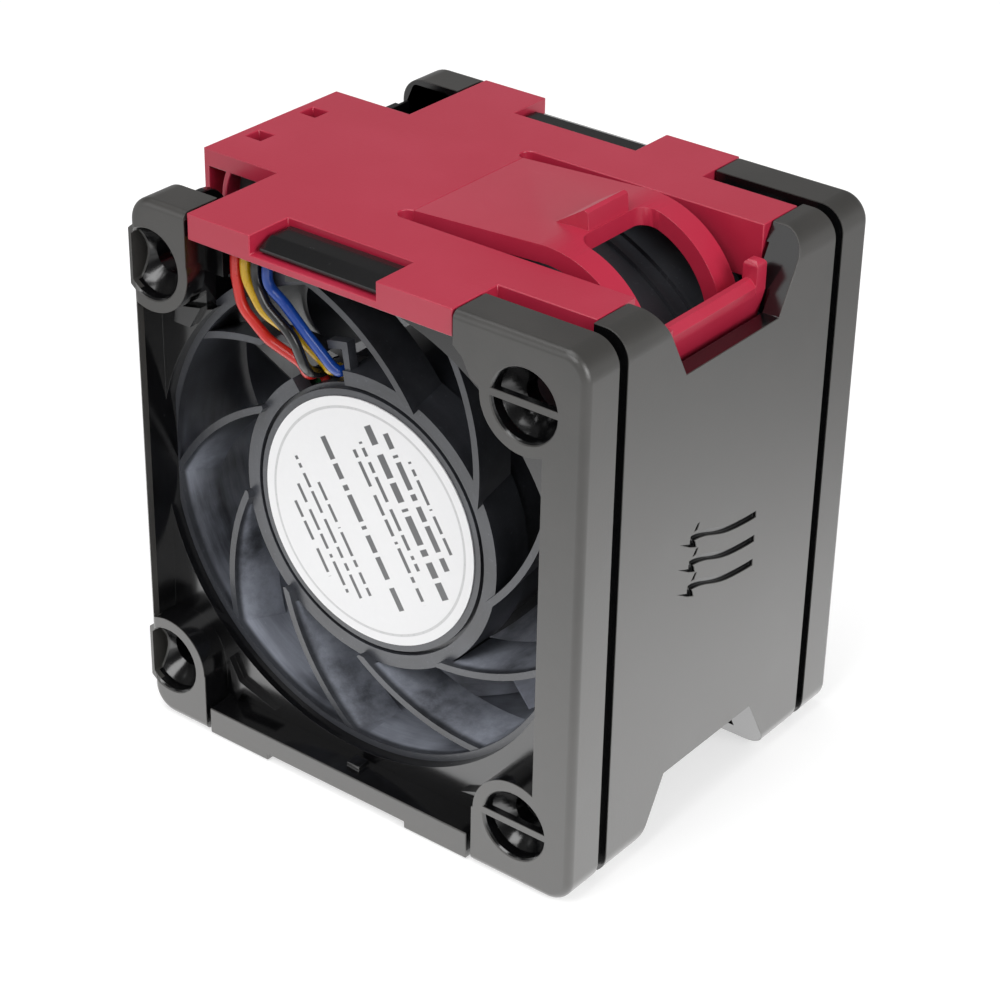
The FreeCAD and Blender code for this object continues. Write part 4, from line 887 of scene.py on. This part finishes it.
@dataclass(frozen=True)
class Moulding:
    """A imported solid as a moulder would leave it: merged, trimmed, with slightly rounded edges.

    An edge counts as sharp from an angle in degrees.
    """

    node: str
    slot: str
    body: Body = Body.HOUSING
    cuts: tuple[Block, ...] = ()
    fills: tuple[Block, ...] = ()
    corners: tuple[Corner, ...] = ()
    rounding: float = 0.12
    segments: int = 2
    sharp: float = 38.0

    WELD = 0.002
    FLAT = math.radians(0.5)
    AREA_WEIGHT = 100

    def merged(self) -> bpy.types.Object:
        """Copies the node's triangles into one closed mesh with whole faces."""
        source = frame["nodes"][self.node]
        piece = bpy.data.objects.new(f"{self.node}_finish", source.data.copy())
        bpy.context.scene.collection.objects.link(piece)
        take(piece)
        self.tidy()
        return piece

    @classmethod
    def tidy(cls) -> None:
        """Merges the doubles and the flat faces of the active piece."""
        bpy.ops.object.mode_set(mode="EDIT")
        bpy.ops.mesh.select_all(action="SELECT")
        bpy.ops.mesh.remove_doubles(threshold=cls.WELD * MM)
        bpy.ops.mesh.dissolve_limited(angle_limit=cls.FLAT)
        bpy.ops.object.mode_set(mode="OBJECT")

    def join(self, piece: bpy.types.Object, block: Block, operation: str) -> None:
        """Cuts a block out of the piece, or adds it.

        Args:
            piece: the piece to change.
            block: the room that is cut or added.
            operation: the Boolean's operation, DIFFERENCE or UNION.
        """
        tool = block.build()
        take(piece)
        change = piece.modifiers.new("block", "BOOLEAN")
        change.operation, change.solver, change.object = operation, "EXACT", tool
        bpy.ops.object.modifier_apply(modifier=change.name)
        bpy.data.objects.remove(tool, do_unlink=True)
        self.tidy()

    def trim(self, piece: bpy.types.Object) -> None:
        """Makes the cuts in the piece, adds the fills and rounds the chosen corners."""
        for block in self.cuts:
            self.join(piece, block, "DIFFERENCE")
        for block in self.fills:
            self.join(piece, block, "UNION")
        for corner in self.corners:
            corner.round_off(piece)

    def soften(self, piece: bpy.types.Object) -> None:
        """Rounds every sharp edge a little and keeps the flat faces flat in shading."""
        bpy.ops.object.shade_smooth_by_angle(angle=math.radians(self.sharp))
        bevel = piece.modifiers.new("rounding", "BEVEL")
        bevel.width, bevel.segments = self.rounding * MM, self.segments
        bevel.limit_method, bevel.angle_limit = "ANGLE", math.radians(self.sharp)
        bevel.use_clamp_overlap = True
        bpy.ops.object.modifier_apply(modifier=bevel.name)
        weighted = piece.modifiers.new("flat_faces", "WEIGHTED_NORMAL")
        weighted.mode, weighted.weight, weighted.keep_sharp = "FACE_AREA", self.AREA_WEIGHT, True
        bpy.ops.object.modifier_apply(modifier=weighted.name)

    def build(self, finishes: Finishes) -> bpy.types.Object:
        """Makes the finished copy that stands for the node.

        Args:
            finishes: the materials of the module.

        Returns:
            The new piece, riding on its body.
        """
        piece = self.merged()
        self.trim(piece)
        self.soften(piece)
        finishes.dress(piece, self.slot)
        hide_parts(self.node)
        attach(piece, self.body.value)
        return piece


@dataclass(frozen=True)
class Shell:
    """Black housing: two end flanges, the side walls and the base rail.

    Reach is further than any piece goes, so that a cut to it is open. Near is how close to a
    corner an edge has to lie to be rounded with it, and open_by is how far the pocket's cut
    starts before the face it is cut in.
    """

    slot: str = "frame_plastic"
    reach: float = 80.0
    wall_top: float = 61.7
    wall_end: float = 11.35
    wall_round: float = 3.0
    flange_inside: float = 20.1
    pocket_depth: float = 3.0
    pocket_x: tuple[float, float] = (-26.5, -20.9)
    pocket_z: tuple[float, float] = (55.25, 63.9)
    pocket_round: float = 0.7
    tab_x: tuple[float, float] = (-20.4, -17.9)
    tab_y: tuple[float, float] = (-21.5, -19.9)
    tab_z: tuple[float, float] = (56.6, 61.6)
    side_x: tuple[float, float] = (-28.25, -27.3)
    side_depth: float = 2.3
    side_z: tuple[float, float] = (55.1, 59.4)
    flare_sharp: float = 24.0
    near: float = 0.05
    open_by: float = 1.0

    def left_wall(self) -> Moulding:
        """Upper left wall: it ends under the nose and is rounded off towards it."""
        above = Block((-self.reach, -self.reach, self.wall_top), (0.0, self.reach, self.reach))
        ends = []
        for side in (-1, 1):
            end = side * self.wall_end
            where = Block((-self.reach, end - self.near, self.wall_top - self.near),
                          (0.0, end + self.near, self.wall_top + self.near))
            ends.append(Corner(where, self.wall_round))
        return Moulding("left_cover_upper", self.slot, cuts=(above,), corners=tuple(ends))

    def outlet_end(self) -> Moulding:
        """Outlet flange with the web under the carrier's front lip beside the leads."""
        low, high = zip(self.tab_x, self.tab_y, self.tab_z)
        return Moulding("outlet_flange", self.slot, fills=(Block(low, high),))

    def inlet_end(self) -> Moulding:
        """Inlet flange with a cored pocket in its inner face, upper left, and a wall beside it."""
        pocket_y = (self.flange_inside - self.open_by, self.flange_inside + self.pocket_depth)
        low, high = zip(self.pocket_x, pocket_y, self.pocket_z)
        pocket = Block(low, high, self.pocket_round)
        side_y = (self.flange_inside, self.flange_inside + self.side_depth)
        low, high = zip(self.side_x, side_y, self.side_z)
        return Moulding("inlet_flange", self.slot, cuts=(pocket,), fills=(Block(low, high),),
                        sharp=self.flare_sharp)

    def build(self, finishes: Finishes) -> None:
        """Models and dresses the shell."""
        pieces = (self.outlet_end(), self.inlet_end(), Moulding("side_cover", self.slot),
                  self.left_wall(), Moulding("left_cover_lower", self.slot),
                  Moulding("base_rail", "rail_plastic"))
        for moulding in pieces:
            moulding.build(finishes)


@dataclass(frozen=True)
class Carrier:
    """Wine-coloured top plate with its nose, and the latch tongue that flexes from it.

    The nub's box is the part of the tongue above its bar, at the end near the outlet.
    """

    slot: str = "carrier_plastic"
    nub_x: tuple[float, float] = (28.0, 30.4)
    nub_y: tuple[float, float] = (-9.6, -7.4)
    nub_z: tuple[float, float] = (60.31, 63.0)
    rounding: float = 0.2

    def tongue(self) -> Moulding:
        """Latch tongue, whose bar carries a nub at its far end only."""
        low, high = zip(self.nub_x, self.nub_y, self.nub_z)
        return Moulding("latch_tongue", self.slot, Body.LATCH, cuts=(Block(low, high),),
                        rounding=self.rounding)

    def build(self, finishes: Finishes) -> None:
        """Models and dresses the carrier."""
        Moulding("top_carrier", self.slot, rounding=self.rounding).build(finishes)
        self.tongue().build(finishes)


def dress_nodes(finishes: Finishes) -> None:
    """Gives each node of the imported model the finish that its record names."""
    for part in frame["record"]["subparts"]:
        finishes.dress(frame["nodes"][part["node"]], part["material_slot"])


def main() -> None:
    """Builds and dresses the module, then the studio."""
    logging.basicConfig(level=logging.INFO, format="%(name)s: %(message)s")
    bpy.ops.object.select_all(action="DESELECT")
    Studio().build()
    finishes = Finishes()
    dress_nodes(finishes)
    for assembly in (Shell(), Carrier()):
        assembly.build(finishes)
    LOG.info("dressed %d nodes", len(frame["nodes"]))


if __name__ == "__main__":
    main()
